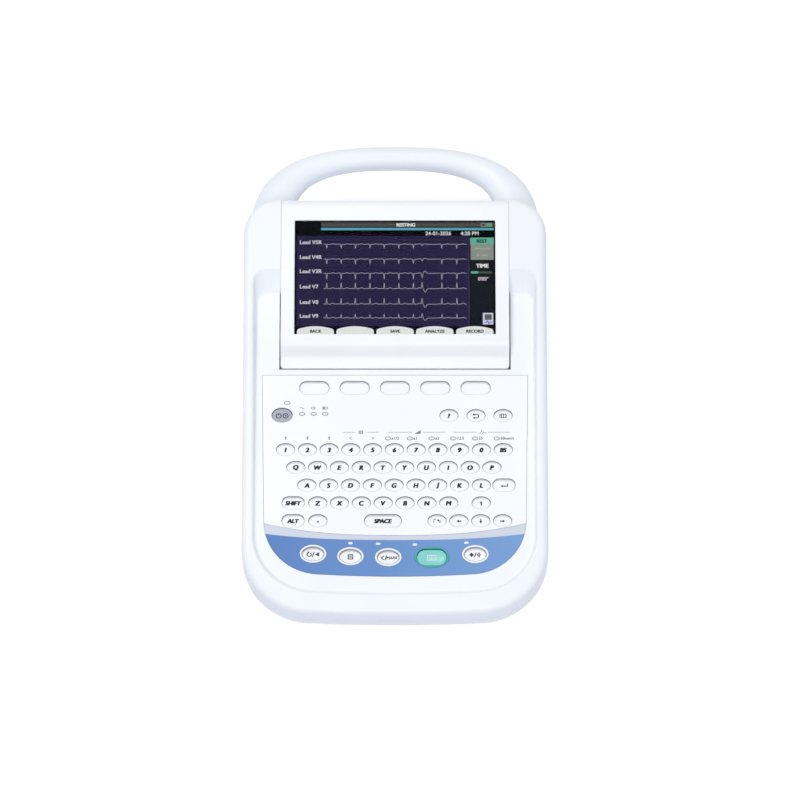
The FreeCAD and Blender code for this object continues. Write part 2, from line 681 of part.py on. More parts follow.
def make_mat():
    """One silicone sheet under all the keys, with a low dome under each."""
    sheet = pad(tub_outline(90.0, 35.0, 33.0, panel_crown_r, 188.0, 3.0), mat_top - mat_thick, mat_top)
    places = [k for row in keyboard_rows.values() for k in row] + list(single_keys.values())
    places += list(strip_keys.values())
    dome_top = -panel_thick - key_flange_gap - key_flange_thick - key_travel - 0.1
    domes = [rod(2.6, Vec(k[0], k[1], mat_top), Vec(0, 0, 1), dome_top - mat_top) for k in places]
    sheet = fuse_all([sheet] + domes)
    holes = [oval_pad(u, v, lens_a + 0.3, lens_b + 0.3, -20, 20) for u, v in lens_places + strip_lens_places]
    holes += [rod(stud_r + 0.3, Vec(u, v, -20), Vec(0, 0, 1), 30) for u, v in stud_places]
    return cut_all(sheet, holes)


def make_keyboard_board():
    """Printed board under the mat, with its chips on the underside."""
    board = pad(tub_outline(95.0, 33.0, 36.0, panel_crown_r, 189.0, 2.0), board_top - board_thick, board_top)
    chips = [box(-70, -46, 100, 124, board_top - board_thick - 2.2, board_top - board_thick),
             box(10, 26, 108, 118, board_top - board_thick - 1.8, board_top - board_thick),
             box(50, 84, 80, 86, board_top - board_thick - 5.0, board_top - board_thick)]
    return fuse_all([board] + chips)


def make_lenses():
    """Light pipes that stand on the board and show through the panel and the strip."""
    places = lens_places + strip_lens_places
    return Part.makeCompound([oval_pad(u, v, lens_a, lens_b, board_top, 0.12) for u, v in places])


# ---------------------------------------------------------------- display lid
def lid_profile(inset):
    """Side outline of the lid in the top frame: low lip, rising slope, flat face, round hinge end."""
    front = lid_front_v + inset
    lip_w = -lid_lip_drop - inset
    lip_end = lid_front_v + lid_lip_length + inset * 0.6
    face_start = lid_slope_end_v + inset * 0.4
    run = face_start - lip_end
    slope = Part.BezierCurve()
    slope.setPoles([Vec(0, lip_end, lip_w), Vec(0, lip_end + 0.42 * run, lip_w),
                    Vec(0, lip_end + 0.40 * run, -inset), Vec(0, face_start, -inset)])
    return front, lip_w, lip_end, face_start, slope.toShape()


def yz_line(v0, w0, v1, w1):
    """A straight edge in the lid's side plane."""
    return Part.LineSegment(Vec(0, v0, w0), Vec(0, v1, w1)).toShape()


lid_cavity_rear = barrel_v - 5.3


def lid_outer_solid():
    """The lid's full outer form."""
    front, lip_w, lip_end, face_start, slope = lid_profile(0.0)
    nose = Part.Arc(Vec(0, barrel_v, 0), Vec(0, barrel_v + barrel_r, -barrel_r),
                    Vec(0, barrel_v, -2 * barrel_r)).toShape()
    edges = [yz_line(front, -lid_depth, front, lip_w), yz_line(front, lip_w, lip_end, lip_w), slope,
             yz_line(face_start, 0, barrel_v, 0), nose,
             yz_line(barrel_v, -2 * barrel_r, barrel_v - 20, -lid_depth), yz_line(barrel_v - 20, -lid_depth, front, -lid_depth)]
    face = Part.Face(Part.Wire(edges))
    face.translate(Vec(-lid_half_width, 0, 0))
    return face.extrude(Vec(2 * lid_half_width, 0, 0))


def lid_cavity():
    """The hollow inside the lid, open downwards."""
    front, lip_w, lip_end, face_start, slope = lid_profile(lid_wall)
    low = -lid_depth - 3
    edges = [yz_line(front, low, front, lip_w), yz_line(front, lip_w, lip_end, lip_w), slope,
             yz_line(face_start, -lid_wall, lid_cavity_rear, -lid_wall),
             yz_line(lid_cavity_rear, -lid_wall, lid_cavity_rear, low), yz_line(lid_cavity_rear, low, front, low)]
    face = Part.Face(Part.Wire(edges))
    half = lid_half_width - lid_wall
    face.translate(Vec(-half, 0, 0))
    return face.extrude(Vec(2 * half, 0, 0))


def make_lid_front():
    """Bezel shell with the picture opening, the hinge barrel and its two pin bores."""
    solid = lid_outer_solid()
    corners = [e for e in solid.Edges if abs(e.BoundBox.YMin - lid_front_v) < 1e-6 and abs(e.BoundBox.YMax - lid_front_v) < 1e-6
               and e.BoundBox.ZLength > 5 and e.BoundBox.XLength < 1e-6]
    solid = solid.makeFillet(3.0, corners)
    solid = solid.cut(lid_cavity())
    half_w = screen_width / 2 + 0.1
    opening = box(-half_w, half_w, screen_front_v - 0.1, screen_front_v + screen_height + 0.1, -5, 5)
    bore_length = hinge_pin_length - lid_gap
    axis = Vec(0, barrel_v, -barrel_r)
    cuts = [opening]
    for side in (-1, 1):
        start = Vec(side * lid_half_width, axis.y, axis.z)
        cuts.append(rod(hinge_pin_r + running_gap, start, Vec(-side, 0, 0), bore_length))
    channel_half = lid_half_width - bore_length - 4
    cuts.append(rod(4.2, Vec(-channel_half, axis.y, axis.z), Vec(1, 0, 0), 2 * channel_half))
    for tool in cuts:
        solid = solid.cut(tool)
    return max(solid.Solids, key=lambda s: s.Volume)


def make_lid_back():
    """Underside plate of the lid, with the two lugs that carry the platen roller."""
    gap = 0.15
    half = lid_half_width - lid_wall - gap
    plate = box(-half, half, lid_front_v + lid_wall + gap, lid_cavity_rear - 12, -lid_depth, -lid_depth + 2.0)
    lugs = [box(s * 60.3 - 1.3, s * 60.3 + 1.3, roller_v - 5.5, roller_v + 5.5, -lid_depth - 1.5, -11.0)
            for s in (-1, 1)]
    bosses = [rod(2.5, Vec(u, v, -lid_depth), Vec(0, 0, 1), 7.2) for u in (-70, 70) for v in (236, 292)]
    body = fuse_all([plate] + lugs + bosses)
    roller_slot = box(-58.7, 58.7, roller_v - 7.5, roller_v + 7.5, -30, 0)
    gear_slot = box(61.9, gear_u + gear_face + 1.5, roller_v - 9.5, roller_v + 9.5, -30, 0)
    bore = rod(roller_shaft_r + running_gap, Vec(-80, roller_v, roller_w), Vec(1, 0, 0), 160)
    return body.cut(roller_slot).cut(gear_slot).cut(bore)


def make_window():
    """Clear window in the bezel."""
    half = screen_width / 2
    return box(-half, half, screen_front_v, screen_front_v + screen_height, -window_drop - window_thick, -window_drop)


def make_lcd():
    """Display module behind the window."""
    mid_v = screen_front_v + screen_height / 2
    front = min(mid_v - lcd_length / 2, screen_front_v - 3)
    return box(-lcd_width / 2, lcd_width / 2, front, lid_cavity_rear - 0.3, -lid_wall - 0.3 - lcd_thick,
               -lid_wall - 0.3)


def make_display_board():
    """Driver board on four spacers behind the display module."""
    back = -lid_wall - 0.3 - lcd_thick
    board = box(-60, 60, 230, 300, back - 1.5 - board_thick, back - 1.5)
    spacers = [rod(2.0, Vec(u, v, back - 1.5), Vec(0, 0, 1), 1.5) for u in (-54, 54) for v in (236, 294)]
    chips = [box(-30, -8, 255, 277, back - 1.5 - board_thick - 1.6, back - 1.5 - board_thick),
             box(12, 40, 262, 270, back - 1.5 - board_thick - 2.2, back - 1.5 - board_thick)]
    return fuse_all([board] + spacers + chips)


def make_hinge_pins():
    """Two steel pins, held in the case's cheeks."""
    pins = []
    for side in (-1, 1):
        start = Vec(side * (lid_half_width + lid_gap + lid_wall), barrel_v, -barrel_r)
        pins.append(rod(hinge_pin_r, start, Vec(-side, 0, 0), hinge_pin_length))
    return Part.makeCompound(pins)


# ---------------------------------------------------------------- recorder
def involute_gear(teeth, bore_r, phase_deg):
    """Spur gear about the u axis at the origin, from u = 0; flanks are short involutes with running backlash."""
    pitch_r = gear_module * teeth / 2
    base_r = pitch_r * math.cos(math.radians(20))
    outer_r = pitch_r + 0.85 * gear_module
    root_r = pitch_r - 1.2 * gear_module
    half_tooth = math.pi / (2 * teeth) - 0.10 / pitch_r

    def involute(radius):
        if radius <= base_r:
            return 0.0
        angle = math.acos(base_r / radius)
        return math.tan(angle) - angle
    flank = [max(base_r, root_r + 0.05), pitch_r, outer_r]
    points = []
    for t in range(teeth):
        centre = 2 * math.pi * t / teeth + math.radians(phase_deg)
        spread = [half_tooth + involute(pitch_r) - involute(r) for r in flank]
        points.append((root_r, centre - spread[0] - 0.02))
        points += [(r, centre - s) for r, s in zip(flank, spread)]
        points += [(r, centre + s) for r, s in zip(reversed(flank), reversed(spread))]
        points.append((root_r, centre + spread[0] + 0.02))
    corners = [Vec(0, r * math.cos(a), r * math.sin(a)) for r, a in points]
    wire = Part.makePolygon(corners + [corners[0]])
    gear = Part.Face(wire).extrude(Vec(gear_face, 0, 0))
    return gear.cut(rod(bore_r, Vec(-1, 0, 0), Vec(1, 0, 0), gear_face + 2)) if bore_r > 0 else gear


def gear_step(from_centre, teeth_a, teeth_b, direction_deg):
    """Centre of a gear that meshes with another along a direction."""
    distance = gear_module * (teeth_a + teeth_b) / 2
    rad = math.radians(direction_deg)
    return (from_centre[0] + distance * math.cos(rad), from_centre[1] + distance * math.sin(rad))


platen_centre = (roller_v, roller_w)
idler_centre = gear_step(platen_centre, platen_teeth, idler_teeth, platen_to_idler_deg)
pinion_centre = gear_step(idler_centre, idler_teeth, pinion_teeth, idler_to_pinion_deg)


def mesh_phase(teeth_a, phase_a, teeth_b, direction_deg):
    """Phase that puts a gap of gear b opposite the tooth position of gear a on their line of centres."""
    along = (direction_deg - phase_a) * teeth_a / 360.0
    share = along - math.floor(along)
    return direction_deg + 180.0 + (share + 0.5) * 360.0 / teeth_b


platen_phase = 0.0
idler_phase = mesh_phase(platen_teeth, platen_phase, idler_teeth, platen_to_idler_deg)
pinion_phase = mesh_phase(idler_teeth, idler_phase, pinion_teeth, idler_to_pinion_deg)
idler_stud_r = 2.0
motor_half, motor_length = 14.0, 21.0
motor_plate_u = 74.0


def at_gear(shape, centre, u=gear_u):
    """A gear-train piece moved onto its axis."""
    shape.translate(Vec(u, centre[0], centre[1]))
    return shape


def make_recorder_frame():
    """Floor and side plates of the recorder, the idler's stud and the motor's plate."""
    side_low, side_high = frame_floor_w, -23.5
    parts = [box(-frame_half_width, frame_half_width, frame_front_v, frame_rear_v, frame_floor_w,
                 frame_floor_w + frame_plate)]
    for side in (-1, 1):
        u0 = side * frame_half_width - (frame_plate if side > 0 else 0)
        parts.append(box(u0, u0 + frame_plate, frame_front_v, frame_rear_v, side_low, side_high))
    parts.append(box(frame_half_width - 1, motor_plate_u + frame_plate, 212, 248, frame_floor_w,
                     frame_floor_w + frame_plate))
    parts.append(box(motor_plate_u, motor_plate_u + frame_plate, 212, 248, frame_floor_w, -23.5))
    stud = rod(idler_stud_r, Vec(frame_half_width - 1, idler_centre[0], idler_centre[1]), Vec(1, 0, 0),
               gear_u + gear_face + 1.5 - frame_half_width + 1)
    body = fuse_all(parts + [stud])
    hole = rod(5.0, Vec(motor_plate_u - 1, pinion_centre[0], pinion_centre[1]), Vec(1, 0, 0), 4)
    return body.cut(hole)


def make_paper_tray():
    """Open-topped tray for the folded chart paper."""
    floor_w = frame_floor_w + frame_plate
    outer = box(-tray_half_width, tray_half_width, tray_front_v, tray_rear_v, floor_w, -24.0)
    inner = box(-tray_half_width + tray_wall, tray_half_width - tray_wall, tray_front_v + tray_wall,
                tray_rear_v - tray_wall, floor_w + tray_wall, 0)
    return outer.cut(inner)


def make_chart_paper():
    """Folded pack of 110 mm chart paper, partly used."""
    floor_w = frame_floor_w + frame_plate + tray_wall
    return box(-55, 55, tray_front_v + tray_wall + 0.8, tray_rear_v - tray_wall - 0.8, floor_w, floor_w + paper_height)


head_top_w = roller_w - roller_r - head_gap


def make_thermal_head():
    """Ceramic heater bar under the roller."""
    return box(-57, 57, roller_v - 7, roller_v + 7.5, head_top_w - 2.5, head_top_w, 0.6, Vec(1, 0, 0))


def make_head_bracket():
    """Aluminium heat sink that carries the heater bar on the recorder's floor."""
    top = head_top_w - 2.5
    floor_w = frame_floor_w + frame_plate
    parts = [box(-57, 57, roller_v - 6.5, roller_v + 7, top - 3, top)]
    for v in (roller_v - 6.5, roller_v + 5):
        parts.append(box(-57, 57, v, v + 2, floor_w, top - 2))
    for i in range(5):
        u = -48 + 24 * i
        parts.append(box(u - 1, u + 1, roller_v - 5, roller_v + 5.5, floor_w, top - 2))
    return fuse_all(parts)


def make_platen():
    """Rubber platen on its steel shaft."""
    sleeve = rod(roller_r, Vec(-roller_half_length, roller_v, roller_w), Vec(1, 0, 0), 2 * roller_half_length)
    shaft = rod(roller_shaft_r, Vec(-62.5, roller_v, roller_w), Vec(1, 0, 0), 62.5 + gear_u + gear_face)
    return fuse_all([sleeve, shaft])


def make_pinion():
    """Motor pinion with its shaft."""
    gear = at_gear(involute_gear(pinion_teeth, 0.0, pinion_phase), pinion_centre)
    shaft = rod(1.5, Vec(gear_u - 0.8, pinion_centre[0], pinion_centre[1]), Vec(1, 0, 0),
                motor_plate_u + frame_plate + 4 - gear_u + 0.8)
    return fuse_all([gear, shaft])


def make_motor():
    """Stepper motor behind its plate."""
    u0 = motor_plate_u + frame_plate
    body = box(u0, u0 + motor_length, pinion_centre[0] - motor_half, pinion_centre[0] + motor_half,
               pinion_centre[1] - motor_half, pinion_centre[1] + motor_half, 2.5, Vec(1, 0, 0))
    boss = rod(4.5, Vec(u0 - 1.5, pinion_centre[0], pinion_centre[1]), Vec(1, 0, 0), 3)
    bore = rod(1.5 + running_gap, Vec(u0 - 3, pinion_centre[0], pinion_centre[1]), Vec(1, 0, 0), 8)
    return fuse_all([body, boss]).cut(bore)


# ---------------------------------------------------------------- electronics, power and sockets
def make_main_board():
    """Processor board on four posts in the front of the lower case."""
    z = main_board_z
    board = box(-92, 92, 26, 92, z, z + board_thick, 3.0)
    tall = z + board_thick
    chips = [box(-30, -2, 40, 68, tall, tall + 3), box(14, 36, 46, 68, tall, tall + 2.2),
             box(-74, -50, 44, 74, tall, tall + 7), box(52, 58, 36, 80, tall, tall + 6),
             box(66, 76, 50, 76, tall, tall + 9)]
    cans = [rod(4.0, Vec(-40 + 10 * i, 82, tall), Vec(0, 0, 1), 9) for i in range(3)]
    return fuse_all([board] + chips + cans)


def make_amplifier_board():
    """Isolated input board under the patient socket, with its screening can."""
    z = amp_board_z
    right = case_width / 2 - 12
    board = box(right - 37, right, 198, 296, z, z + board_thick, 2.0)
    can = box(right - 31, right - 6, 256, 288, z + board_thick, z + board_thick + 7)
    return fuse_all([board, can])


def make_power_supply():
    """Boxed mains supply on the floor, behind the inlet."""
    z0 = floor_z
    left = -case_width / 2 + 24.5
    body = box(left, left + 27.5, 196, 271, z0, z0 + 31, 1.5)
    slots = [box(left + 3.5, left + 23.5, 206 + 9 * i, 209 + 9 * i, z0 + 29, z0 + 40) for i in range(7)]
    return cut_all(body, slots)


def make_battery():
    """Rechargeable pack in the bay."""
    z0 = foot_height + cover_thick + 0.3
    return box(battery_x0, battery_x1, battery_y0, battery_y1, z0, z0 + battery_height, 3.0)


def make_battery_cover():
    """Sliding cover under the battery, with a thumb grip."""
    body = cover_block(0.0)
    grip = [box(5, 25, battery_y1 - 12 + 3 * i, battery_y1 - 10.6 + 3 * i, foot_height - 1, foot_height + 0.8)
            for i in range(4)]
    return cut_all(body, grip)


def make_speaker():
    """Small loudspeaker over the grille."""
    basket = rod(speaker_r, Vec(speaker_x, speaker_y, floor_z), Vec(0, 0, 1), 4.0)
    magnet = rod(8.0, Vec(speaker_x, speaker_y, floor_z + 4.0), Vec(0, 0, 1), 6.0)
    return fuse_all([basket, magnet])


inlet_cavity = (12.0, 7.8, 16.0)       # half length, half height and depth of the mains socket's mouth
inlet_pin_tip = 6.0                    # how far the pins stay behind the mouth


def make_power_inlet():
    """Mains inlet: snap-in body with a hollow mouth and three flat pins."""
    x0 = -case_width / 2 + 0.3
    half_y, half_z, depth = inlet_cavity
    body = box(x0, x0 + 23.5, inlet_y - inlet_half_y + 0.15, inlet_y + inlet_half_y - 0.15,
               connector_z - inlet_half_z + 0.15, connector_z + inlet_half_z - 0.15, 1.0, Vec(1, 0, 0))
    mouth = box(x0 - 1, x0 + depth, inlet_y - half_y, inlet_y + half_y, connector_z - half_z, connector_z + half_z,
                2.5, Vec(1, 0, 0))
    body = body.cut(mouth)
    pins = []
    for dy, dz in ((-7.0, -1.5), (0.0, 2.5), (7.0, -1.5)):
        pins.append(box(x0 + inlet_pin_tip, x0 + depth + 2, inlet_y + dy - 1, inlet_y + dy + 1,
                        connector_z + dz - 2, connector_z + dz + 2))
    return fuse_all([body] + pins)


patient_mouth_depth = 5.5


def make_patient_socket():
    """Recessed 15-way socket for the lead cable, with two hex jack posts."""
    x1 = case_width / 2 - 0.3
    body = box(x1 - 16, x1, patient_y - patient_half_y + 0.15, patient_y + patient_half_y - 0.15,
               connector_z - patient_half_z + 0.15, connector_z + patient_half_z - 0.15, 1.0, Vec(1, 0, 0))
    recess = box(x1 - 7, x1 + 1, patient_y - 20.5, patient_y + 20.5, connector_z - 6.5, connector_z + 6.5, 2.0,
                 Vec(1, 0, 0))
    insert = box(x1 - 8, x1 - patient_mouth_depth, patient_y - 12.5, patient_y + 12.5, connector_z - 4.2, connector_z + 4.2, 2.0,
                 Vec(1, 0, 0))
    holes = [rod(0.55, Vec(x1 - 6, patient_y + 2.76 * (i - 3.5), connector_z + 1.42), Vec(1, 0, 0), 8) for i in range(8)]
    holes += [rod(0.55, Vec(x1 - 6, patient_y + 2.76 * (i - 3), connector_z - 1.42), Vec(1, 0, 0), 8) for i in range(7)]
    posts = [rod(2.4, Vec(x1 - 8, patient_y + s * 16.6, connector_z), Vec(1, 0, 0), 8 - patient_mouth_depth)
             for s in (-1, 1)]
    body = fuse_all([body.cut(recess), cut_all(insert, holes)] + posts)
    return cut_all(body, [rod(1.2, Vec(x1 - 6, patient_y + s * 16.6, connector_z), Vec(1, 0, 0), 8) for s in (-1, 1)])


lan_mouth = (6.0, 4.6, 11.0)


def make_data_sockets():
    """Network socket and two memory-stick sockets in the rear wall."""
    y1 = case_depth - 0.3
    solids = []
    body = box(lan_x - lan_half_x + 0.15, lan_x + lan_half_x - 0.15, y1 - 16, y1, connector_z - lan_half_z + 0.15,
               connector_z + lan_half_z - 0.15)
    half_x, half_z, depth = lan_mouth
    mouth = box(lan_x - half_x, lan_x + half_x, y1 - depth, y1 + 1, connector_z - half_z, connector_z + half_z)
    solids.append(body.cut(mouth))
    for x in usb_x:
        body = box(x - usb_half_x + 0.1, x + usb_half_x - 0.1, y1 - 14, y1, connector_z - usb_half_z + 0.1,
                   connector_z + usb_half_z - 0.1)
        mouth = box(x - 6.1, x + 6.1, y1 - 10, y1 + 1, connector_z - 2.6, connector_z + 2.6)
        tongue = box(x - 5.2, x + 5.2, y1 - 11, y1 - 1.2, connector_z + 0.1, connector_z + 1.9)
        solids.append(fuse_all([body.cut(mouth), tongue]))
    return Part.makeCompound(solids)


def make_feet():
    """Four rubber pads let into the bottom."""
    feet = []
    for x, y in foot_places:
        foot = rod(foot_r, Vec(x, y, 0), Vec(0, 0, 1), foot_height + foot_seat_depth)
        rim = [e for e in foot.Edges if e.BoundBox.ZMax < 1e-6]
        feet.append(foot.makeFillet(0.8, rim))
    return Part.makeCompound(feet)


def make_screws():
    """Eight case screws from below and four handle screws from inside the rear wall."""
    screws = []
    for x, y in post_places:
        head = rod(screw_head_r, Vec(x, y, screw_seat_z - 2.4), Vec(0, 0, 1), 2.4)
        shank = rod(screw_r, Vec(x, y, screw_seat_z), Vec(0, 0, 1), screw_tip_z - screw_seat_z)
        slot_a = box(x - 1.8, x + 1.8, y - 0.4, y + 0.4, screw_seat_z - 3, screw_seat_z - 1.2)
        slot_b = box(x - 0.4, x + 0.4, y - 1.8, y + 1.8, screw_seat_z - 3, screw_seat_z - 1.2)
        screws.append(fuse_all([head, shank]).cut(slot_a).cut(slot_b))
    inner_face = case_depth - wall
    for side in (-1, 1):
        for z in handle_screw_z:
            head = rod(screw_head_r, Vec(side * handle_screw_x, inner_face - 2.4, z), Vec(0, 1, 0), 2.4)
            shank = rod(screw_r, Vec(side * handle_screw_x, inner_face, z), Vec(0, 1, 0), wall + 10)
            screws.append(fuse_all([head, shank]))
    return Part.makeCompound(screws)


# ---------------------------------------------------------------- build and write every sub-part
def build_all():
    """Makes each sub-part and writes its STEP file."""
    save("upper_case", make_upper_case())
    save("lower_case", put(make_lower_case(), FreeCAD.Placement()))
    handle_upper, handle_lower = make_handle()
    save("handle_upper", handle_upper)
    save("handle_lower", handle_lower)

    keyboard_panel, trim, strip = make_console()
    save("keyboard_panel", put(keyboard_panel, deck_frame))
    save("trim_crescent", put(trim, deck_frame))
    save("function_strip", put(strip, deck_frame))
    white_rings, green_ring = make_collars()
    save("key_collars", put(white_rings, deck_frame))
    save("record_key_collar", put(green_ring, deck_frame))
    for name, keys in keyboard_rows.items():
        caps = [make_key(u, v, a, b, -key_drop) for u, v, a, b in keys]
        save(name, put(Part.makeCompound(caps), deck_frame))
    for name, (u, v, a, b) in single_keys.items():
        save(name, put(make_key(u, v, a, b, -key_drop), deck_frame))
    for name, (u, v, a, b) in strip_keys.items():
        cap = make_key(u, v, a - ring_width, b - ring_width, -key_drop, 0.5)
        save(name, put(cap, deck_frame))
    save("keypad_mat", put(make_mat(), deck_frame))
    save("keyboard_board", put(make_keyboard_board(), deck_frame))
    save("indicator_lenses", put(make_lenses(), deck_frame))

    save("lid_front", put(make_lid_front(), top_frame))
    save("lid_back", put(make_lid_back(), top_frame))
    save("screen_window", put(make_window(), top_frame))
    save("lcd_module", put(make_lcd(), top_frame))
    save("display_board", put(make_display_board(), top_frame))
    save("hinge_pins", put(make_hinge_pins(), top_frame))

    save("recorder_frame", put(make_recorder_frame(), top_frame))
    save("paper_tray", put(make_paper_tray(), top_frame))
    save("chart_paper", put(make_chart_paper(), top_frame))
    save("thermal_head", put(make_thermal_head(), top_frame))
    save("head_heatsink", put(make_head_bracket(), top_frame))
    save("platen_roller", put(make_platen(), top_frame))
    platen_gear = at_gear(involute_gear(platen_teeth, roller_shaft_r + 0.02, platen_phase), platen_centre)
    save("platen_gear", put(platen_gear, top_frame))
    idler = at_gear(involute_gear(idler_teeth, idler_stud_r + running_gap, idler_phase), idler_centre)
    save("idler_gear", put(idler, top_frame))
    save("motor_pinion", put(make_pinion(), top_frame))
    save("feed_motor", put(make_motor(), top_frame))

    level = {"main_board": make_main_board, "amplifier_board": make_amplifier_board,
             "power_supply": make_power_supply, "battery_pack": make_battery, "battery_cover": make_battery_cover,
             "speaker": make_speaker, "power_inlet": make_power_inlet, "patient_socket": make_patient_socket,
             "data_sockets": make_data_sockets, "rubber_feet": make_feet,
             "case_screws": make_screws}
    for name, maker in level.items():
        save(name, put(maker(), case_frame))
    print("sub-parts", len(built))
    whole = Part.makeCompound(list(built.values())).BoundBox
    print("box X %.2f %.2f  Y %.2f %.2f  Z %.2f %.2f" % (whole.XMin, whole.XMax, whole.YMin, whole.YMax,
                                                        whole.ZMin, whole.ZMax))


build_all()
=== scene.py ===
"""Finish, legends, lit picture and studio for a portable electrocardiograph, laid out as a Blender add-on.

Mesh data is in metres in the machine's own frame. Shape functions take millimetres in three working frames:
deck (u, v, w) on the keyboard deck, top (u, v, w) on the raised rear top and the lid, and picture (x, y) from the
lit picture's upper left corner, x to the right and y towards the user.
"""
import math

import bmesh
import bpy
import numpy as np
from bpy.props import FloatProperty, FloatVectorProperty, PointerProperty
from bpy.types import Operator, Panel, PropertyGroup
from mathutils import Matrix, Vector


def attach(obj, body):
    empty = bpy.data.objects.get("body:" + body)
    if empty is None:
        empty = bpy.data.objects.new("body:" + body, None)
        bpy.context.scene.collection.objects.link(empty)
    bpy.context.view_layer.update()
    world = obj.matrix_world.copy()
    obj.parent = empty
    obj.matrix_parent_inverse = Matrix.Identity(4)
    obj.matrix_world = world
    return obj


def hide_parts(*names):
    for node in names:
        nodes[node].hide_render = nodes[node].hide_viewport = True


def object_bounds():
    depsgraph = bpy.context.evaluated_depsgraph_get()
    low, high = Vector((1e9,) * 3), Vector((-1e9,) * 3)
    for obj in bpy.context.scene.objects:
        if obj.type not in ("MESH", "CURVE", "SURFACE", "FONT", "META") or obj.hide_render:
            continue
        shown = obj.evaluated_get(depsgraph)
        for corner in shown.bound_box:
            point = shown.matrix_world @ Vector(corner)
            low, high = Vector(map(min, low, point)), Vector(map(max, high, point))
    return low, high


bl_info = {
    "name": "Portable Electrocardiograph",
    "version": (1, 0, 0),
    "blender": (4, 5, 0),
    "location": "3D View > Sidebar > Electrocardiograph",
    "description": "Finishes, legends, lit picture and studio for a portable electrocardiograph",
    "category": "Object",
}

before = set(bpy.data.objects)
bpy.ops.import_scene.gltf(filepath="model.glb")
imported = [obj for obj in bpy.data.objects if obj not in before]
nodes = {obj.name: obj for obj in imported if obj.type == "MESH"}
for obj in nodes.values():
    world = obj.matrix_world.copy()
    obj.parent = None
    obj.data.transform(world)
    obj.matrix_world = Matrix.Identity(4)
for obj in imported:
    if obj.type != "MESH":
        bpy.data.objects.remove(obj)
cad_box = [[float(c) for c in corner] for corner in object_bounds()]

MM = 0.001
FRONT_Y = cad_box[0][1] / MM
DECK = (42.0, math.radians(4.0))      # height over the table at the front edge, and tilt
TOP = (44.0, math.radians(6.0))
PICTURE_LEFT, PICTURE_REAR, PICTURE_W = -76.2, 312.3, -2.44
KEY_TOP = -1.1
PRINT_LIFT = 0.03
KEY_HALF = (7.2, 5.2, 8.7)      # half length and half width of a key hole, half length of a wide one
RIM_INSET = 0.45
RIM_BREADTH = 1.6
RIM_HEIGHT = 0.85
STRIP_HALF = 0.098              # half the width over which the strip's painted reflection turns from darker to lighter, in metres
FINE_GRAIN = 0.00002            # depth of moulded grain in metres
GRAIN_SCALE = 2600.0
MERGE = 2e-6                    # points closer than this are one, in metres
SMALL_AREA = 4e-5               # faces under this area, in square metres, with
MANY_CORNERS = 6                # fewer corners than this are shaded smooth
UPRIGHT = 0.5                   # faces whose normal rises less than this are walls
LIP = (86.74, 86.98, 258.2, 328.6, -0.7)               # side seal: inner and outer u, front and rear v, w
FRONT_SHADOW_STRIP = (-86.9, 195.35, 86.9, 195.9, -9.5)        # corners and w of a near-black strip that paints the shadow in the gap under the lid's front edge


# ---- places
def on_plane(plane, u, v, w):
    """Points of a tilted working plane in metres: y = front + v cos - w sin, z = height + v sin + w cos."""
    height, tilt = plane
    u, v, w = np.broadcast_arrays(u, v, w)
    y = FRONT_Y + v * math.cos(tilt) - w * math.sin(tilt)
    z = height + v * math.sin(tilt) + w * math.cos(tilt)
    return np.stack([u, y, z], axis=-1) * MM


def on_deck(flat, w=PRINT_LIFT):
    """Flat points (u, v) laid on the deck at height w, which may be a function of them."""
    level = w(flat[:, 0], flat[:, 1]) if callable(w) else w
    return on_plane(DECK, flat[:, 0], flat[:, 1], level)


def on_picture(flat, w=PICTURE_W):
    """Flat points (x, y) of the picture laid under the lid's window: u = left + x, v = rear - y."""
    return on_plane(TOP, PICTURE_LEFT + flat[:, 0], PICTURE_REAR - flat[:, 1], w)


# ---- flat shapes, each (points, triangles)
def joined(patches):
    """Several flat shapes as one: points stacked, corner numbers shifted by the points before them."""
    starts = np.cumsum([0] + [len(p) for p, _ in patches[:-1]])
    return (np.concatenate([p for p, _ in patches]),
            np.concatenate([t + s for (_, t), s in zip(patches, starts)]))


def moved(patch, du, dv, scale=1.0):
    """A flat shape scaled about its origin, then shifted."""
    return patch[0] * scale + np.array([du, dv]), patch[1]


def polygon(points):
    """A convex outline as a fan of triangles from its first corner."""
    points = np.asarray(points, float)
    k = np.arange(1, len(points) - 1)
    return points, np.stack([np.zeros_like(k), k, k + 1], axis=1)


def block(x0, y0, x1, y1):
    """A rectangle between two corners."""
    return polygon([(x0, y0), (x1, y0), (x1, y1), (x0, y1)])


def cells(k, step):
    """Two triangles for each cell with corners k and k + 1 and, one row on, k + step and k + step + 1."""
    return np.concatenate([np.stack([k, k + 1, k + step], 1), np.stack([k + 1, k + step + 1, k + step], 1)])


def ribbon(points, width, closed=False):
    """A line of constant width: each point is pushed half the width both ways along the mean normal of its two
    runs, lengthened by one over the cosine of half their turn, and neighbours are joined by two triangles."""
    p = np.asarray(points, float)
    if closed:
        p = np.concatenate([p, p[:1]])
    run = np.diff(p, axis=0)
    run /= np.maximum(np.linalg.norm(run, axis=1, keepdims=True), 1e-9)
    before = np.concatenate([run[-1:] if closed else run[:1], run])
    after = np.concatenate([run, run[:1] if closed else run[-1:]])
    mean = before + after
    mean /= np.maximum(np.linalg.norm(mean, axis=1, keepdims=True), 1e-6)
    stretch = np.clip(np.sum(mean * before, axis=1, keepdims=True), 0.4, 1.0)
    side = np.stack([-mean[:, 1], mean[:, 0]], axis=1) * (width / 2.0) / stretch
    count = len(p)
    return np.concatenate([p - side, p + side]), cells(np.arange(count - 1), count)


def rim_line(x0, y0, x1, y1, width):
    """The outline of a rectangle between two corners."""
    return ribbon([(x0, y1), (x1, y1), (x1, y0), (x0, y0)], width, True)


def arc_points(cx, cy, rx, ry, start, end, count=17):
    """Points of an elliptic arc: centre plus radii times cosine and sine of angles in degrees."""
    a = np.radians(np.linspace(start, end, count))
    return np.stack([cx + rx * np.cos(a), cy + ry * np.sin(a)], axis=1)


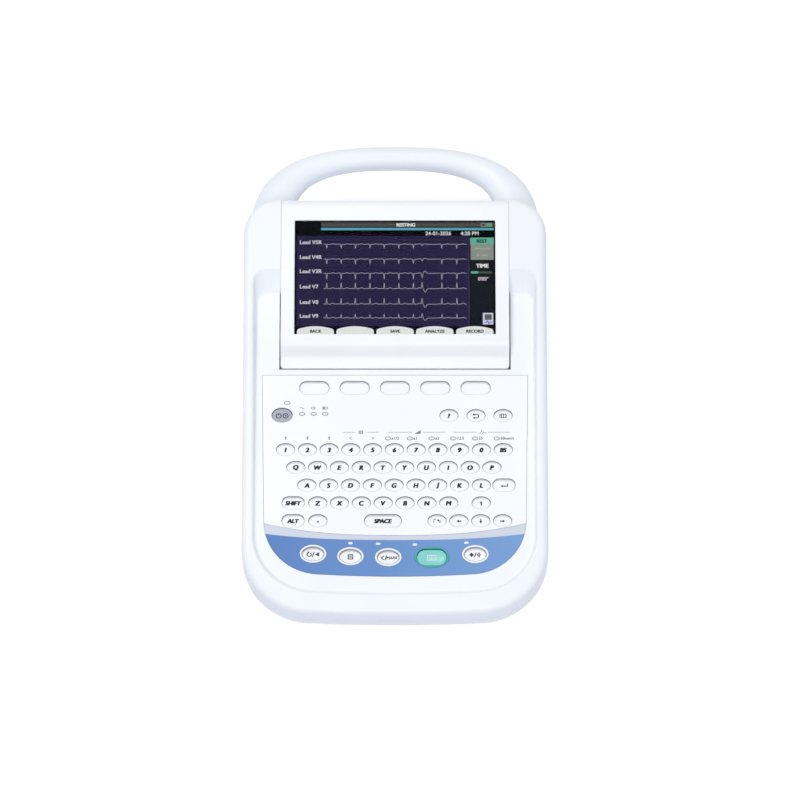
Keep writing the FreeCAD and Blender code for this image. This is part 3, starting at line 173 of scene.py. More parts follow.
def oval(cx, cy, rx, ry):
    """A filled ellipse."""
    return polygon(arc_points(cx, cy, rx, ry, 0, 345, 24))


def arrow(angle):
    """An arrow centred on the origin: a straight shaft and a filled head, turned by an angle in degrees."""
    half, head, width = 1.85, 1.8, 0.9
    shape = joined([ribbon([(-half, 0), (half - head, 0)], width),
                    polygon([(half - head, -1.2), (half, 0), (half - head, 1.2)])])
    a = math.radians(angle)
    turn = np.array([[math.cos(a), math.sin(a)], [-math.sin(a), math.cos(a)]])
    return shape[0] @ turn, shape[1]


CAPITAL = 0.0


def lettering(words, height, slant=0.0, bold=0.0, centre=True):
    """Words as flat triangles with capitals `height` mm tall, leaning by slant; bold lays five copies over each
    other, four of them shifted by that many mm sideways and by half as much up or down."""
    global CAPITAL
    curve = bpy.data.curves.new("lettering", "FONT")
    curve.resolution_u = 3
    holder = bpy.data.objects.new("lettering", curve)
    if CAPITAL == 0.0:
        curve.body = "H"
        probe = bpy.data.meshes.new_from_object(holder)
        CAPITAL = max(v.co.y for v in probe.vertices)
        bpy.data.meshes.remove(probe)
    curve.body = words
    curve.shear = slant
    mesh = bpy.data.meshes.new_from_object(holder)
    mesh.calc_loop_triangles()
    flat = np.array([v.co[:2] for v in mesh.vertices]) * (height / CAPITAL)
    tris = np.array([t.vertices for t in mesh.loop_triangles])
    if centre:
        flat = flat - (flat.min(axis=0) + flat.max(axis=0)) / 2.0
    bpy.data.meshes.remove(mesh)
    bpy.data.objects.remove(holder)
    bpy.data.curves.remove(curve)
    shape = (flat, tris)
    if bold:
        shifts = ((0, 0), (-1, 0.5), (1, 0.5), (-1, -0.5), (1, -0.5))
        shape = joined([moved(shape, bold * du, bold * dv) for du, dv in shifts])
    return shape


def facing_up(points, tris):
    """The triangles with their corners ordered so that each faces away from the table."""
    a, b, c = points[tris[:, 0]], points[tris[:, 1]], points[tris[:, 2]]
    down = np.cross(b - a, c - a)[:, 2] < 0
    tris = tris.copy()
    tris[down] = tris[down][:, ::-1]
    return tris


def thin_piece(name, parts, body, uv=None):
    """One object from flat shapes in place. parts lists (points, triangles, material); it rides on body."""
    points, tris = joined([(p, facing_up(p, t)) for p, t, _ in parts])
    shade = np.concatenate([np.full(len(t), i, dtype=np.int32) for i, (_, t, _) in enumerate(parts)])
    mesh = bpy.data.meshes.new(name)
    mesh.from_pydata(points, [], tris)
    mesh.polygons.foreach_set("material_index", shade)
    if uv is not None:
        layer = mesh.uv_layers.new(name="picture")
        flat = np.concatenate(uv)[tris.ravel()]
        layer.data.foreach_set("uv", flat.ravel())
    for _, _, material in parts:
        mesh.materials.append(material)
    piece = bpy.data.objects.new(name, mesh)
    bpy.context.scene.collection.objects.link(piece)
    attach(piece, body)
    return piece


def flat_print(name, shape, body, ink, w=KEY_TOP + PRINT_LIFT):
    """A flat shape laid on the deck at height w, as a piece of its own that rides on body."""
    thin_piece(name, [(on_deck(shape[0], w), shape[1], ink)], body)


# ---- materials
def feed(tree, node, inputs):
    """Sets a shader node's inputs by name or number: another node's output is linked, anything else is a value."""
    for key, value in inputs.items():
        if isinstance(value, bpy.types.NodeSocket):
            tree.links.new(value, node.inputs[key])
        else:
            node.inputs[key].default_value = value


def add_node(tree, kind, inputs, **settings):
    """A new shader node with its settings and inputs."""
    node = tree.nodes.new("ShaderNode" + kind)
    for key, value in settings.items():
        setattr(node, key, value)
    feed(tree, node, inputs)
    return node


def new_material(name):
    """A material with its principled shader."""
    material = bpy.data.materials.new(name)
    material.use_nodes = True
    return material, material.node_tree, material.node_tree.nodes["Principled BSDF"]


def own_place(tree):
    """The object's own coordinates."""
    return add_node(tree, "TexCoord", {}).outputs["Object"]


def noise(tree, scale, detail=2.0, stretch=None):
    """Noise on the object's own coordinates; stretch squeezes it along an axis."""
    source = own_place(tree)
    if stretch:
        source = add_node(tree, "Mapping", {"Vector": source, "Scale": stretch}).outputs["Vector"]
    return add_node(tree, "TexNoise", {"Vector": source, "Scale": scale, "Detail": detail}).outputs["Fac"]


def ramp(tree, source, low, high, start=0.35, end=0.65):
    """A colour ramp between two colours."""
    node = add_node(tree, "ValToRGB", {"Fac": source})
    for i, (position, colour) in enumerate(((start, low), (end, high))):
        node.color_ramp.elements[i].position = position
        node.color_ramp.elements[i].color = (*colour, 1.0)
    return node.outputs["Color"]


def spread(tree, source, low, high):
    """A number that follows a texture between two values."""
    return add_node(tree, "MapRange", {"Value": source, "To Min": low, "To Max": high}).outputs["Result"]


def worn(tree, roughness):
    """Roughness that varies with handling by 0.05 either way."""
    return spread(tree, noise(tree, 60.0, 4.0), roughness - 0.05, roughness + 0.05)


def relief(tree, source, depth):
    """Normals of a relief of a given depth in metres."""
    return add_node(tree, "Bump", {"Height": source, "Distance": depth, "Strength": 1.0}).outputs["Normal"]


def tint(colour, factor):
    """A colour made lighter or darker."""
    return tuple(min(1.0, c * factor) for c in colour[:3])


def moulded(name, colour, roughness=0.42, grain=FINE_GRAIN, grain_scale=GRAIN_SCALE, drift=0.02, coat=0.0):
    """Moulded plastic: a faint cloud in the colour, a spark-eroded grain, and gloss that varies with handling."""
    material, tree, shader = new_material(name)
    low, high = tint(colour, 1.0 - drift), tint(colour, 1.0 + drift * 0.6)
    feed(tree, shader, {"Base Color": ramp(tree, noise(tree, 14.0, 3.0), low, high),
                        "Roughness": worn(tree, roughness), "Normal": relief(tree, noise(tree, grain_scale), grain)})
    if coat:
        feed(tree, shader, {"Coat Weight": coat, "Coat Roughness": 0.15})
    return material


def painted_sheen_graded(name, left, right, roughness=0.35):
    """Moulded plastic whose colour turns from one side of the machine to the other, as a painted reflection: darker at
    one end and lighter at the other.
    """
    material, tree, shader = new_material(name)
    x = add_node(tree, "SeparateXYZ", {"Vector": own_place(tree)}).outputs["X"]
    across = add_node(tree, "MapRange", {"Value": x, "From Min": -STRIP_HALF, "From Max": STRIP_HALF})
    base = ramp(tree, across.outputs["Result"], left, right, 0.0, 1.0)
    cloud = ramp(tree, noise(tree, 18.0, 3.0), (0.97, 0.97, 0.97), (1.0, 1.0, 1.0))
    mix = add_node(tree, "Mix", {"Factor": 1.0, "A": base, "B": cloud}, data_type="RGBA", blend_type="MULTIPLY")
    feed(tree, shader, {"Base Color": mix.outputs["Result"], "Roughness": worn(tree, roughness),
                        "Normal": relief(tree, noise(tree, GRAIN_SCALE), FINE_GRAIN)})
    return material


def metal(name, colour, roughness=0.35):
    """Brushed or rolled metal: gloss and relief drawn out along one axis."""
    material, tree, shader = new_material(name)
    brushed = noise(tree, 120.0, 4.0, (1.0, 40.0, 1.0))
    feed(tree, shader, {"Metallic": 1.0, "Roughness": spread(tree, brushed, roughness - 0.08, roughness + 0.1),
                        "Base Color": ramp(tree, noise(tree, 30.0, 3.0), tint(colour, 0.93), tint(colour, 1.04)),
                        "Normal": relief(tree, brushed, FINE_GRAIN)})
    return material


def rubber(name, colour, roughness=0.8):
    """Matte rubber with a coarse grain."""
    return moulded(name, colour, roughness, 0.00004, 1500.0, 0.06)


def board(name, colour):
    """Circuit board: solder mask with tracks seen as fine darker and lighter cells."""
    material, tree, shader = new_material(name)
    cells = add_node(tree, "TexVoronoi", {"Vector": own_place(tree), "Scale": 260.0}, distance="MANHATTAN")
    tracks = cells.outputs["Distance"]
    feed(tree, shader, {"Base Color": ramp(tree, tracks, tint(colour, 0.75), tint(colour, 1.3), 0.2, 0.5),
                        "Roughness": 0.35, "Normal": relief(tree, tracks, 0.00004)})
    return material


def frosted(name, colour):
    """Frosted light pipe: pale, slightly see-through plastic."""
    material, tree, shader = new_material(name)
    feed(tree, shader, {"Base Color": ramp(tree, noise(tree, 900.0), tint(colour, 0.92), colour),
                        "Subsurface Weight": 0.3, "Subsurface Scale": 0.001, "Roughness": 0.3})
    return material


def clear_window(name, colour):
    """Coated clear window: transmits, with weak reflections and a trace of haze."""
    material, tree, shader = new_material(name)
    feed(tree, shader, {"Base Color": (*colour, 1.0), "Transmission Weight": 1.0, "IOR": 1.12,
                        "Roughness": spread(tree, noise(tree, 40.0, 4.0), 0.0, 0.03)})
    return material


def printed(name, colour):
    """Pad-printed ink: slightly uneven cover and a satin sheen."""
    material, tree, shader = new_material(name)
    cover = ramp(tree, noise(tree, 1400.0, 3.0), tint(colour, 0.85), tint(colour, 1.15))
    feed(tree, shader, {"Base Color": cover, "Roughness": 0.45})
    return material


def glowing(name):
    """A material that gives light and sends none back."""
    material, tree, shader = new_material(name)
    feed(tree, shader, {"Base Color": (0.0, 0.0, 0.0, 1.0), "Specular IOR Level": 0.0, "Emission Strength": 1.0})
    return material, tree, shader


def lit(name, colour):
    """Lit area of the display: light of one colour through the fine rows of the panel."""
    material, tree, shader = glowing(name)
    rows = ramp(tree, noise(tree, 2200.0, 0.0), tint(colour, 0.9), tint(colour, 1.05))
    feed(tree, shader, {"Emission Color": rows})
    return material


def lit_grid(name, colour, line_colour, pitch, line):
    """Lit background with a square grid: the line's colour where the distance of x or y from the nearest whole
    number of pitches is under line, the ground's colour elsewhere."""
    material, tree, shader = glowing(name)
    flat = add_node(tree, "UVMap", {}, uv_map="picture").outputs["UV"]
    split = add_node(tree, "SeparateXYZ", {"Vector": flat})
    masks = {}
    for number, axis in enumerate("XY"):
        off = add_node(tree, "Math", {0: split.outputs[axis], 1: pitch / 2.0}, operation="PINGPONG").outputs[0]
        near = add_node(tree, "MapRange", {"Value": off, "From Min": line * 0.5, "From Max": line})
        masks[number] = near.outputs["Result"]
    both = add_node(tree, "Math", masks, operation="MULTIPLY").outputs[0]
    feed(tree, shader, {"Emission Color": ramp(tree, both, line_colour, colour, 0.0, 1.0)})
    return material


def dress(names, material):
    """Gives CAD nodes a material in all their slots, or a first one."""
    for name in names:
        slots = nodes[name].data.materials
        if len(slots) == 0:
            slots.append(material)
        for i in range(len(slots)):
            slots[i] = material


# ---- soft-edged copies
def softened_copy(node, name, width, material, body, sharp=35.0, walls=None):
    """The node's own surface with doubles merged, flat triangles joined, and each edge that turns by more than
    `sharp` degrees rounded by a bevel of `width` mm in three steps. walls, if given, is the material of the faces
    that stand upright and of the rounded edges."""
    mesh = nodes[node].data.copy()
    mesh.name = name
    work = bmesh.new()
    work.from_mesh(mesh)
    bmesh.ops.remove_doubles(work, verts=work.verts, dist=MERGE)
    bmesh.ops.dissolve_limit(work, angle_limit=math.radians(0.5), verts=work.verts, edges=work.edges)
    bmesh.ops.recalc_face_normals(work, faces=work.faces)
    work.to_mesh(mesh)
    work.free()
    mesh.materials.clear()
    mesh.materials.append(material)
    if walls is not None:
        mesh.materials.append(walls)
        mesh.polygons.foreach_set("material_index", [int(abs(f.normal.z) < UPRIGHT) for f in mesh.polygons])
    smooth = [f.area < SMALL_AREA and f.loop_total < MANY_CORNERS for f in mesh.polygons]
    mesh.polygons.foreach_set("use_smooth", smooth)
    piece = bpy.data.objects.new(name, mesh)
    bpy.context.scene.collection.objects.link(piece)
    edge = piece.modifiers.new("soft_edges", "BEVEL")
    edge.width = width * MM
    edge.segments = 3
    edge.limit_method = "ANGLE"
    edge.angle_limit = math.radians(sharp)
    edge.material = 0 if walls is None else 1
    edge.use_clamp_overlap = True
    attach(piece, body)
    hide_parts(node)
    return piece


# ---- what a user may change
def colour_of(label, about, value):
    """A colour property."""
    return FloatVectorProperty(name=label, description=about, default=value, min=0.0, max=1.0, size=3, subtype="COLOR")


def length_of(label, about, value):
    """A length property whose value is in metres."""
    return FloatProperty(name=label, description=about, default=value, min=0.0, precision=5, unit="LENGTH")


class PlasticColours(PropertyGroup):
    """Colours of the mouldings."""
    case: colour_of("Case", "Upper and lower case", (0.89, 0.92, 0.95))
    handle: colour_of("Handle", "Carrying loop", (0.88, 0.92, 0.955))
    panel: colour_of("Keyboard panel", "Panel round the keys", (0.92, 0.94, 0.96))
    lid: colour_of("Lid", "Display lid", (0.915, 0.94, 0.965))
    # the next two colours are painted shade on the upright walls and rounded edges of the holes and collars
    key_well_shade: colour_of("Key wells", "Walls and rounded edges of the key holes", (0.55, 0.575, 0.62))
    collar_edge_shade: colour_of("Collar edges", "Walls and rounded edges of the collars on the strip", (0.62, 0.63, 0.66))
    crescent: colour_of("Crescent", "Band between keyboard and strip", (0.62, 0.665, 0.76))
    # the strip's two end colours are a painted reflection: darker at the left end, lighter at the right
    strip_left_less_sheen: colour_of("Strip, left", "Function strip at its left end", (0.062, 0.185, 0.50))
    strip_right_painted_sheen: colour_of("Strip, right", "Function strip at its right end", (0.165, 0.33, 0.64))
    key: colour_of("Keys", "White keys", (0.92, 0.93, 0.945))
    record: colour_of("Record key", "Green record key", (0.24, 0.66, 0.62))
    record_ring: colour_of("Record ring", "Ring round the record key", (0.03, 0.38, 0.34))
    # the key rims' grey is painted shade that darkens the rear edge of each key
    rim_shade: colour_of("Key rims", "Raised rear rims of the white keys", (0.52, 0.55, 0.59))
    power: colour_of("Power key", "Grey power key", (0.36, 0.40, 0.47))


class LegendSizes(PropertyGroup):
    """Sizes and colours of the printed legends."""
    capital: length_of("Capitals", "Height of a letter on a key", 0.0034)
    bold: length_of("Bold", "How far the strokes of the key letters are thickened on each side", 0.00038)
    small: length_of("Small print", "Height of the small print on the panel", 0.0022)
    line: length_of("Line", "Width of the printed lines", 0.00042)
    slant: FloatProperty(name="Slant", description="Lean of the key letters", default=0.18, min=0.0, max=1.0)
    ink: colour_of("Ink", "Key legends", (0.012, 0.014, 0.03))
    slate: colour_of("Slate ink", "Small print on the panel", (0.16, 0.175, 0.235))


class PictureColours(PropertyGroup):
    """Sizes and colours of the lit picture."""
    width: length_of("Width", "Width of the picture", 0.1524)
    height: length_of("Height", "Height of the picture", 0.0914)
    grid: length_of("Grid", "Pitch of the grid", 0.00296)
    trace: length_of("Trace", "Width of a trace", 0.00042)
    ground: colour_of("Ground", "Background of the traces", (0.009, 0.008, 0.018))
    grid_line: colour_of("Grid line", "Lines of the grid", (0.020, 0.0155, 0.060))
    wave: colour_of("Wave", "Traces", (0.33, 0.31, 0.38))
    bar: colour_of("Title bar", "Grey bar at the top", (0.052, 0.050, 0.044))
    line: colour_of("Line", "Line under the title bar", (0.085, 0.38, 0.50))
    mark: colour_of("Mark", "Highlighted field", (0.11, 0.40, 0.30))
    field: colour_of("Field", "Grey field", (0.24, 0.27, 0.24))
    tab: colour_of("Tabs", "Labels over the soft keys", (0.76, 0.77, 0.755))
    side: colour_of("Side column", "Column at the right", (0.006, 0.009, 0.014))


class StudioLevels(PropertyGroup):
    """Light levels of the studio."""
    sky: FloatProperty(name="Sky", description="Level of the soft light from all round", default=0.59, min=0.0)
    key: FloatProperty(name="Key lamp", description="Power of the lamp over the rear left", default=28.5, min=0.0)
    fill: FloatProperty(name="Fill lamp", description="Power of the large lamp over the front", default=26.5, min=0.0)
    shade: colour_of("Shade", "Colour of the floor in full shadow", (0.66, 0.68, 0.83))


# ---- pieces
class ECG_OT_mouldings(Operator):
    """Finish the case, the carrying loop and the lid's underside"""
    bl_idname = "ecg.mouldings"
    bl_label = "Mouldings"

    def execute(self, context):
        c = context.scene.ecg_plastic
        dress(["upper_case", "lower_case", "battery_cover"], moulded("case_plastic", c.case))
        dress(["handle_upper", "handle_lower"], moulded("handle_plastic", c.handle))
        dress(["lid_back"], moulded("lid_underside", tint(c.lid, 0.9), 0.5, 0.00004, 1800.0))
        dress(["trim_crescent"], moulded("crescent_plastic", c.crescent, 0.4))
        # the strip's colour turns from left to right as a painted reflection
        dress(["function_strip"], painted_sheen_graded("strip_painted_sheen", c.strip_left_less_sheen, c.strip_right_painted_sheen))
        dress(["record_key_collar"], moulded("record_ring_plastic", c.record_ring, 0.3))
        return {"FINISHED"}


class ECG_OT_keys(Operator):
    """Finish the keys and the indicator lenses"""
    bl_idname = "ecg.keys"
    bl_label = "Keys and lenses"

    def execute(self, context):
        c = context.scene.ecg_plastic
        white = [n for n in nodes if n.endswith("_keys") or n.startswith("soft_key")]
        white += ["help_key", "page_key", "copy_key", "rhythm_key", "stop_key", "mark_key", "feed_key"]
        dress(white, moulded("key_plastic", c.key, 0.36, 0.000012))
        dress(["record_key"], moulded("record_key_plastic", c.record, 0.3, 0.000012, drift=0.05))
        dress(["power_key"], moulded("power_key_plastic", c.power, 0.3, 0.000012, drift=0.06, coat=0.5))
        dress(["indicator_lenses"], frosted("lens_plastic", (0.84, 0.86, 0.90)))
        dress(["keypad_mat"], rubber("mat_silicone", (0.55, 0.57, 0.60)))
        return {"FINISHED"}


class ECG_OT_works(Operator):
    """Finish the recorder, the electronics, the sockets, the feet and the screws"""
    bl_idname = "ecg.works"
    bl_label = "Works and sockets"

    def execute(self, context):
        dress(["display_board", "main_board", "keyboard_board", "amplifier_board"],
              board("solder_mask", (0.03, 0.16, 0.07)))
        dress(["hinge_pins", "case_screws", "recorder_frame"], metal("zinc_steel", (0.58, 0.59, 0.61)))
        dress(["power_supply", "head_heatsink"], metal("rolled_aluminium", (0.72, 0.73, 0.75), 0.4))
        dress(["feed_motor"], metal("motor_steel", (0.25, 0.26, 0.28), 0.4))
        dress(["lcd_module"], moulded("panel_frame", (0.015, 0.015, 0.02), 0.4))
        dress(["battery_pack"], moulded("battery_sleeve", (0.04, 0.05, 0.08), 0.3, 0.00005, 300.0))
        dress(["paper_tray"], moulded("tray_plastic", (0.03, 0.03, 0.035), 0.5, 0.00004, 1500.0))
        dress(["chart_paper"], moulded("chart_paper", (0.86, 0.78, 0.78), 0.75, 0.00002, 900.0, 0.03))
        dress(["thermal_head"], moulded("glazed_ceramic", (0.62, 0.58, 0.5), 0.15))
        dress(["platen_roller"], rubber("platen_rubber", (0.03, 0.03, 0.033), 0.7))
        dress(["platen_gear", "idler_gear", "motor_pinion"], moulded("acetal", (0.78, 0.76, 0.68), 0.4))
        dress(["power_inlet", "data_sockets", "speaker"], moulded("socket_plastic", (0.018, 0.018, 0.02), 0.45))
        dress(["patient_socket"], moulded("lead_socket_plastic", (0.05, 0.10, 0.26), 0.4))
        dress(["rubber_feet"], rubber("foot_rubber", (0.05, 0.05, 0.055)))
        return {"FINISHED"}


class ECG_OT_lid(Operator):
    """Lid shell with softened edges, and its clear window"""
    bl_idname = "ecg.lid"
    bl_label = "Lid shell and window"

    def execute(self, context):
        c = context.scene.ecg_plastic
        shell = softened_copy("lid_front", "lid_shell", 0.7, moulded("lid_plastic", c.lid, 0.38), "lid")
        dress(["screen_window"], clear_window("window_coating", (1.0, 1.0, 1.0)))
        inner, outer, front, rear, depth = LIP
        lips = joined([block(-outer, front, -inner, rear), block(inner, front, outer, rear)])
        silicone = rubber("seal_silicone", tint(c.case, 0.9), 0.6)
        # the near-black front strip is painted shadow in the gap under the lid's front edge
        soft = rubber("front_gap_painted_shadow", (0.10, 0.10, 0.11), 0.6)
        for name, (flat, tris), w, material in (("lid_seal_lips", lips, depth, silicone),
                                                ("lid_front_shadow_strip", block(*FRONT_SHADOW_STRIP[:4]), FRONT_SHADOW_STRIP[4], soft)):
            thin_piece(name, [(on_plane(TOP, flat[:, 0], flat[:, 1], w), tris, material)], "case")
        return {"FINISHED"}


class ECG_OT_panel(Operator):
    """Keyboard panel with softened key holes; the walls and rounded edges of the holes and collars take a greyer
    colour as painted shade
    """
    bl_idname = "ecg.panel"
    bl_label = "Keyboard panel"

    def execute(self, context):
        c = context.scene.ecg_plastic
        # the greyer walls material paints the shade in the key holes and round the collars
        plate = softened_copy("keyboard_panel", "keyboard_plate", 0.35, moulded("panel_plastic", c.panel, 0.4), "case",
                              walls=moulded("panel_edge_painted_shade", c.key_well_shade, 0.5))
        rings = softened_copy("key_collars", "collar_rings", 0.6, moulded("collar_plastic", c.key, 0.35), "case",
                              walls=moulded("collar_edge_painted_shade", c.collar_edge_shade, 0.5))
        return {"FINISHED"}


KEY_PITCH = 16.4
MIDDLE_ROW, LOWER_ROW = "middle_letter_keys_row", "lower_letter_keys_row"
KEY_ROWS = {       # body: (v, first u, legends)
    "number_row": (131.32, -82.4, "1 2 3 4 5 6 7 8 9 0 BS".split()),
    "upper_letter_keys_row": (117.14, -74.6, "Q W E R T Y U I O P".split()),
    MIDDLE_ROW: (102.96, -66.2, "A S D F G H J K L".split()),
    LOWER_ROW: (88.78, -58.0, "Z X C V B N M".split()),
}
BOTTOM_V = 74.6
WIDE_U, COMMA_U, SPACE_U, ARROWS_U = -76.4, -57.8, -9.0, 31.6      # the arrows' row starts with the symbol key
ENTER_U, UP_U = 82.0, 64.8
BUTTON_V = 158.7
BUTTONS = {"help_button": 40.8, "page_button": 61.2, "copy_button": 81.6}
SOFT_V, SOFT_PITCH = 181.0, 30.5
WIDE_LEGENDS = {
    LOWER_ROW: [("SHIFT", WIDE_U, KEY_ROWS[LOWER_ROW][0])],
    "bottom_row": [("ALT", WIDE_U, BOTTOM_V), ("SPACE", SPACE_U, BOTTOM_V), (",", COMMA_U, 74.0)],
}
ICON = 0.65        # width of the lines of the icons


class ECG_OT_legends(Operator):
    """Letters, digits and arrows printed on the typing keys"""
    bl_idname = "ecg.legends"
    bl_label = "Key legends"

    def execute(self, context):
        s = context.scene.ecg_legend
        ink = printed("key_ink", s.ink)
        size, bold = s.capital / MM, s.bold / MM
        marks = {body: [] for body in list(KEY_ROWS) + ["bottom_row"]}
        for body, (v, first, words) in KEY_ROWS.items():
            for i, word in enumerate(words):
                shape = lettering(word, size * (0.92 if len(word) > 1 else 1.0), s.slant, bold)
                marks[body].append(moved(shape, first + KEY_PITCH * i, v))
        for body, words in WIDE_LEGENDS.items():
            for word, u, v in words:
                shape = lettering(word, size * (0.9 if len(word) > 1 else 1.0), s.slant, bold)
                marks[body].append(moved(shape, u, v))
        enter = joined([ribbon([(2.6, 1.5), (2.6, -0.5), (-1.0, -0.5)], 0.8),
                        polygon([(-1.0, -1.5), (-2.7, -0.5), (-1.0, 0.5)])])
        marks[MIDDLE_ROW].append(moved(enter, ENTER_U, KEY_ROWS[MIDDLE_ROW][0]))
        marks[LOWER_ROW].append(moved(arrow(90.0), UP_U, KEY_ROWS[LOWER_ROW][0]))
        symbol = joined([ribbon([(-2.4, -1.6), (-2.4, 1.5), (-0.6, 1.5)], 0.5), oval(0.9, 0.6, 0.75, 0.75),
                         ribbon(arc_points(2.2, -0.4, 0.7, 0.7, 0, 340), 0.4)])
        bottom = [symbol, arrow(180.0), arrow(-90.0), arrow(0.0)]
        marks["bottom_row"] += [moved(shape, ARROWS_U + KEY_PITCH * i, BOTTOM_V) for i, shape in enumerate(bottom)]
        for body, shapes in marks.items():
            flat_print(body + "_legends", joined(shapes), body, ink)
        page = joined([ribbon(arc_points(0.0, -0.2, 2.0, 1.5, -150, 130), 0.75),
                       polygon([(-2.6, 0.3), (-0.6, 0.5), (-1.9, 2.2)]), ribbon([(-2.2, -1.9), (-0.9, -1.9)], 0.6)])
        copy = joined([ribbon([(-2.3, 1.7), (-2.3, -1.7)], 0.7), rim_line(-1.1, -1.5, 0.5, 1.5, 0.6),
                       ribbon(arc_points(1.1, 0.0, 1.4, 1.5, -90, 90, 9), 0.7)])
        for (body, u), shape in zip(BUTTONS.items(), (lettering("?", size, s.slant, bold), page, copy)):
            flat_print(body + "_legend", moved(shape, u, BUTTON_V), body, ink)
        on_off = joined([ribbon(arc_points(-2.6, -0.2, 1.9, 1.8, 110, 430, 24), 0.75),
                         ribbon([(-2.6, 0.2), (-2.6, 2.0)], 0.75),
                         ribbon(arc_points(2.6, -0.2, 1.9, 1.8, 0, 345, 24), 0.75, True), oval(2.6, -0.2, 0.75, 0.7)])
        flat_print("power_button_legend", moved(on_off, -85.2, 159.0), "power_button",
                   printed("power_ink", (0.03, 0.035, 0.05)))
        return {"FINISHED"}


def strip_shapes():
    """Icons of the blue strip's keys, each about its key's middle."""
    bar = ribbon([(0.0, -1.7), (1.2, 1.7)], ICON)
    rhythm = joined([ribbon(arc_points(-2.6, 0, 1.5, 1.3, 110, 420), ICON),
                     polygon([(-3.6, 2.0), (-2.1, 1.9), (-3.0, 0.6)]), moved(bar, -0.5, 0.0),
                     polygon([(3.4, 1.4), (3.4, -1.4), (1.3, 0)]), ribbon([(3.8, 1.4), (3.8, -1.4)], ICON)])
    stop = joined([rim_line(-1.5, -1.5, 1.5, 1.5, ICON)]
                  + [block(x, y, x + 0.65, y + 0.65) for x in (-0.75, 0.1) for y in (-0.75, 0.1)])
    mark = joined([ribbon([(-3.0, 1.4), (-4.6, 0), (-3.0, -1.4)], ICON), ribbon([(-2.2, -1.6), (-1.1, 1.6)], ICON),
                   moved(lettering("MARK", 1.9, 0.18, 0.1), 2.6, 0.0)])
    sheet = joined([rim_line(-2.9, -1.7, -0.1, 1.7, 0.45),
                    ribbon([(-2.4, -0.2), (-1.8, -0.2), (-1.5, 1.0), (-1.2, -0.9), (-0.9, -0.2), (-0.5, -0.2)], 0.32)])
    record = joined([sheet, moved(sheet, 3.0, 0.0)])
    feed_on = joined([polygon([(-4.1, 0), (-2.5, 1.6), (-0.9, 0), (-2.5, -1.6)]), moved(bar, -0.6, 0.0),
                      ribbon([(2.9, 1.5), (1.3, 0), (2.9, -1.5)], 0.7), polygon([(2.6, 0.9), (2.6, -0.9), (3.9, 0)])])
    return {"rhythm_button": rhythm, "stop_button": stop, "mark_button": mark, "record_button": record,
            "feed_button": feed_on}


SMALL_FACE = (7.95, 5.15)      # half length and half width
STRIP_KEYS = {                 # body: (u, v, half length and half width of the key's face)
    "rhythm_button": (-61.3, 48.3, *SMALL_FACE), "stop_button": (-33.3, 46.4, *SMALL_FACE),
    "mark_button": (-5.0, 45.6, *SMALL_FACE), "record_button": (27.6, 45.7, 11.15, 6.25),
    "feed_button": (60.2, 48.0, *SMALL_FACE),
}
DISH = 0.5
DISH_SHARE = 0.82


def dished(u, v, u0, v0, a, b):
    """Height of a strip key's dished face: its rim less the dish times one minus the squared share of the dish's
    half axes, which are DISH_SHARE of a and b."""
    share = ((u - u0) / (DISH_SHARE * a)) ** 2 + ((v - v0) / (DISH_SHARE * b)) ** 2
    return KEY_TOP - DISH * np.clip(1.0 - share, 0.0, 1.0)


def rear_outline(a, b, slot):
    """Rear half of a key's outline from its right end to its left: an ellipse of half axes a and b, or where slot is
    true a straight edge between two quarter circles of radius b."""
    t = np.linspace(0.0, math.pi, 37)
    edge = np.stack([a * np.cos(t), b * np.sin(t)], axis=1)
    if slot:
        edge = np.stack([b * np.cos(t) + np.where(t <= math.pi / 2, a - b, b - a), b * np.sin(t)], axis=1)
    return edge


def rear_rim(name, keys, body, shade_colour, pale, base=None):
    """Raised rims along the rear of each key (u, v, a, b, slot). Across each of them s runs from 0 at its inner edge
    to 1 at the key's edge; its breadth is RIM_BREADTH times the share y/b of the outline, and it rises by RIM_HEIGHT
    times s squared times that share. The raised shape throws real shade, and its colour adds painted shade in three
    bands, from pale inside to the shade colour at the edge."""
    bands = [[], [], []]
    for u, v, a, b, slot in keys:
        edge = rear_outline(a - RIM_INSET, b - RIM_INSET, slot)
        share = edge[:, 1] / (b - RIM_INSET)
        for band, strips in enumerate(bands):
            s = np.linspace(band / 3.0, (band + 1) / 3.0, 4)[:, None]
            x = edge[None, :, 0] * np.ones_like(s)
            y = edge[None, :, 1] - RIM_BREADTH * (1.0 - s) * share[None, :]
            rise = RIM_HEIGHT * s ** 2 * share[None, :] + PRINT_LIFT
            rows, columns = x.shape
            first = (np.arange(rows - 1)[:, None] * columns + np.arange(columns - 1)[None, :]).ravel()
            flat = np.stack([u + x.ravel(), v + y.ravel()], axis=1)
            floor = KEY_TOP if base is None else base(flat[:, 0], flat[:, 1])
            strips.append((on_deck(flat, floor + rise.ravel()), cells(first, columns)))
    parts = []
    for strips, mixed in zip(bands, (0.75, 0.4, 0.0)):
        colour = [d + mixed * (p - d) for d, p in zip(shade_colour, pale)]
        points, tris = joined(strips)
        parts.append((points, tris, moulded("%s_%02d" % (name, round(100 * mixed)), colour, 0.45)))
    thin_piece(name, parts, body)


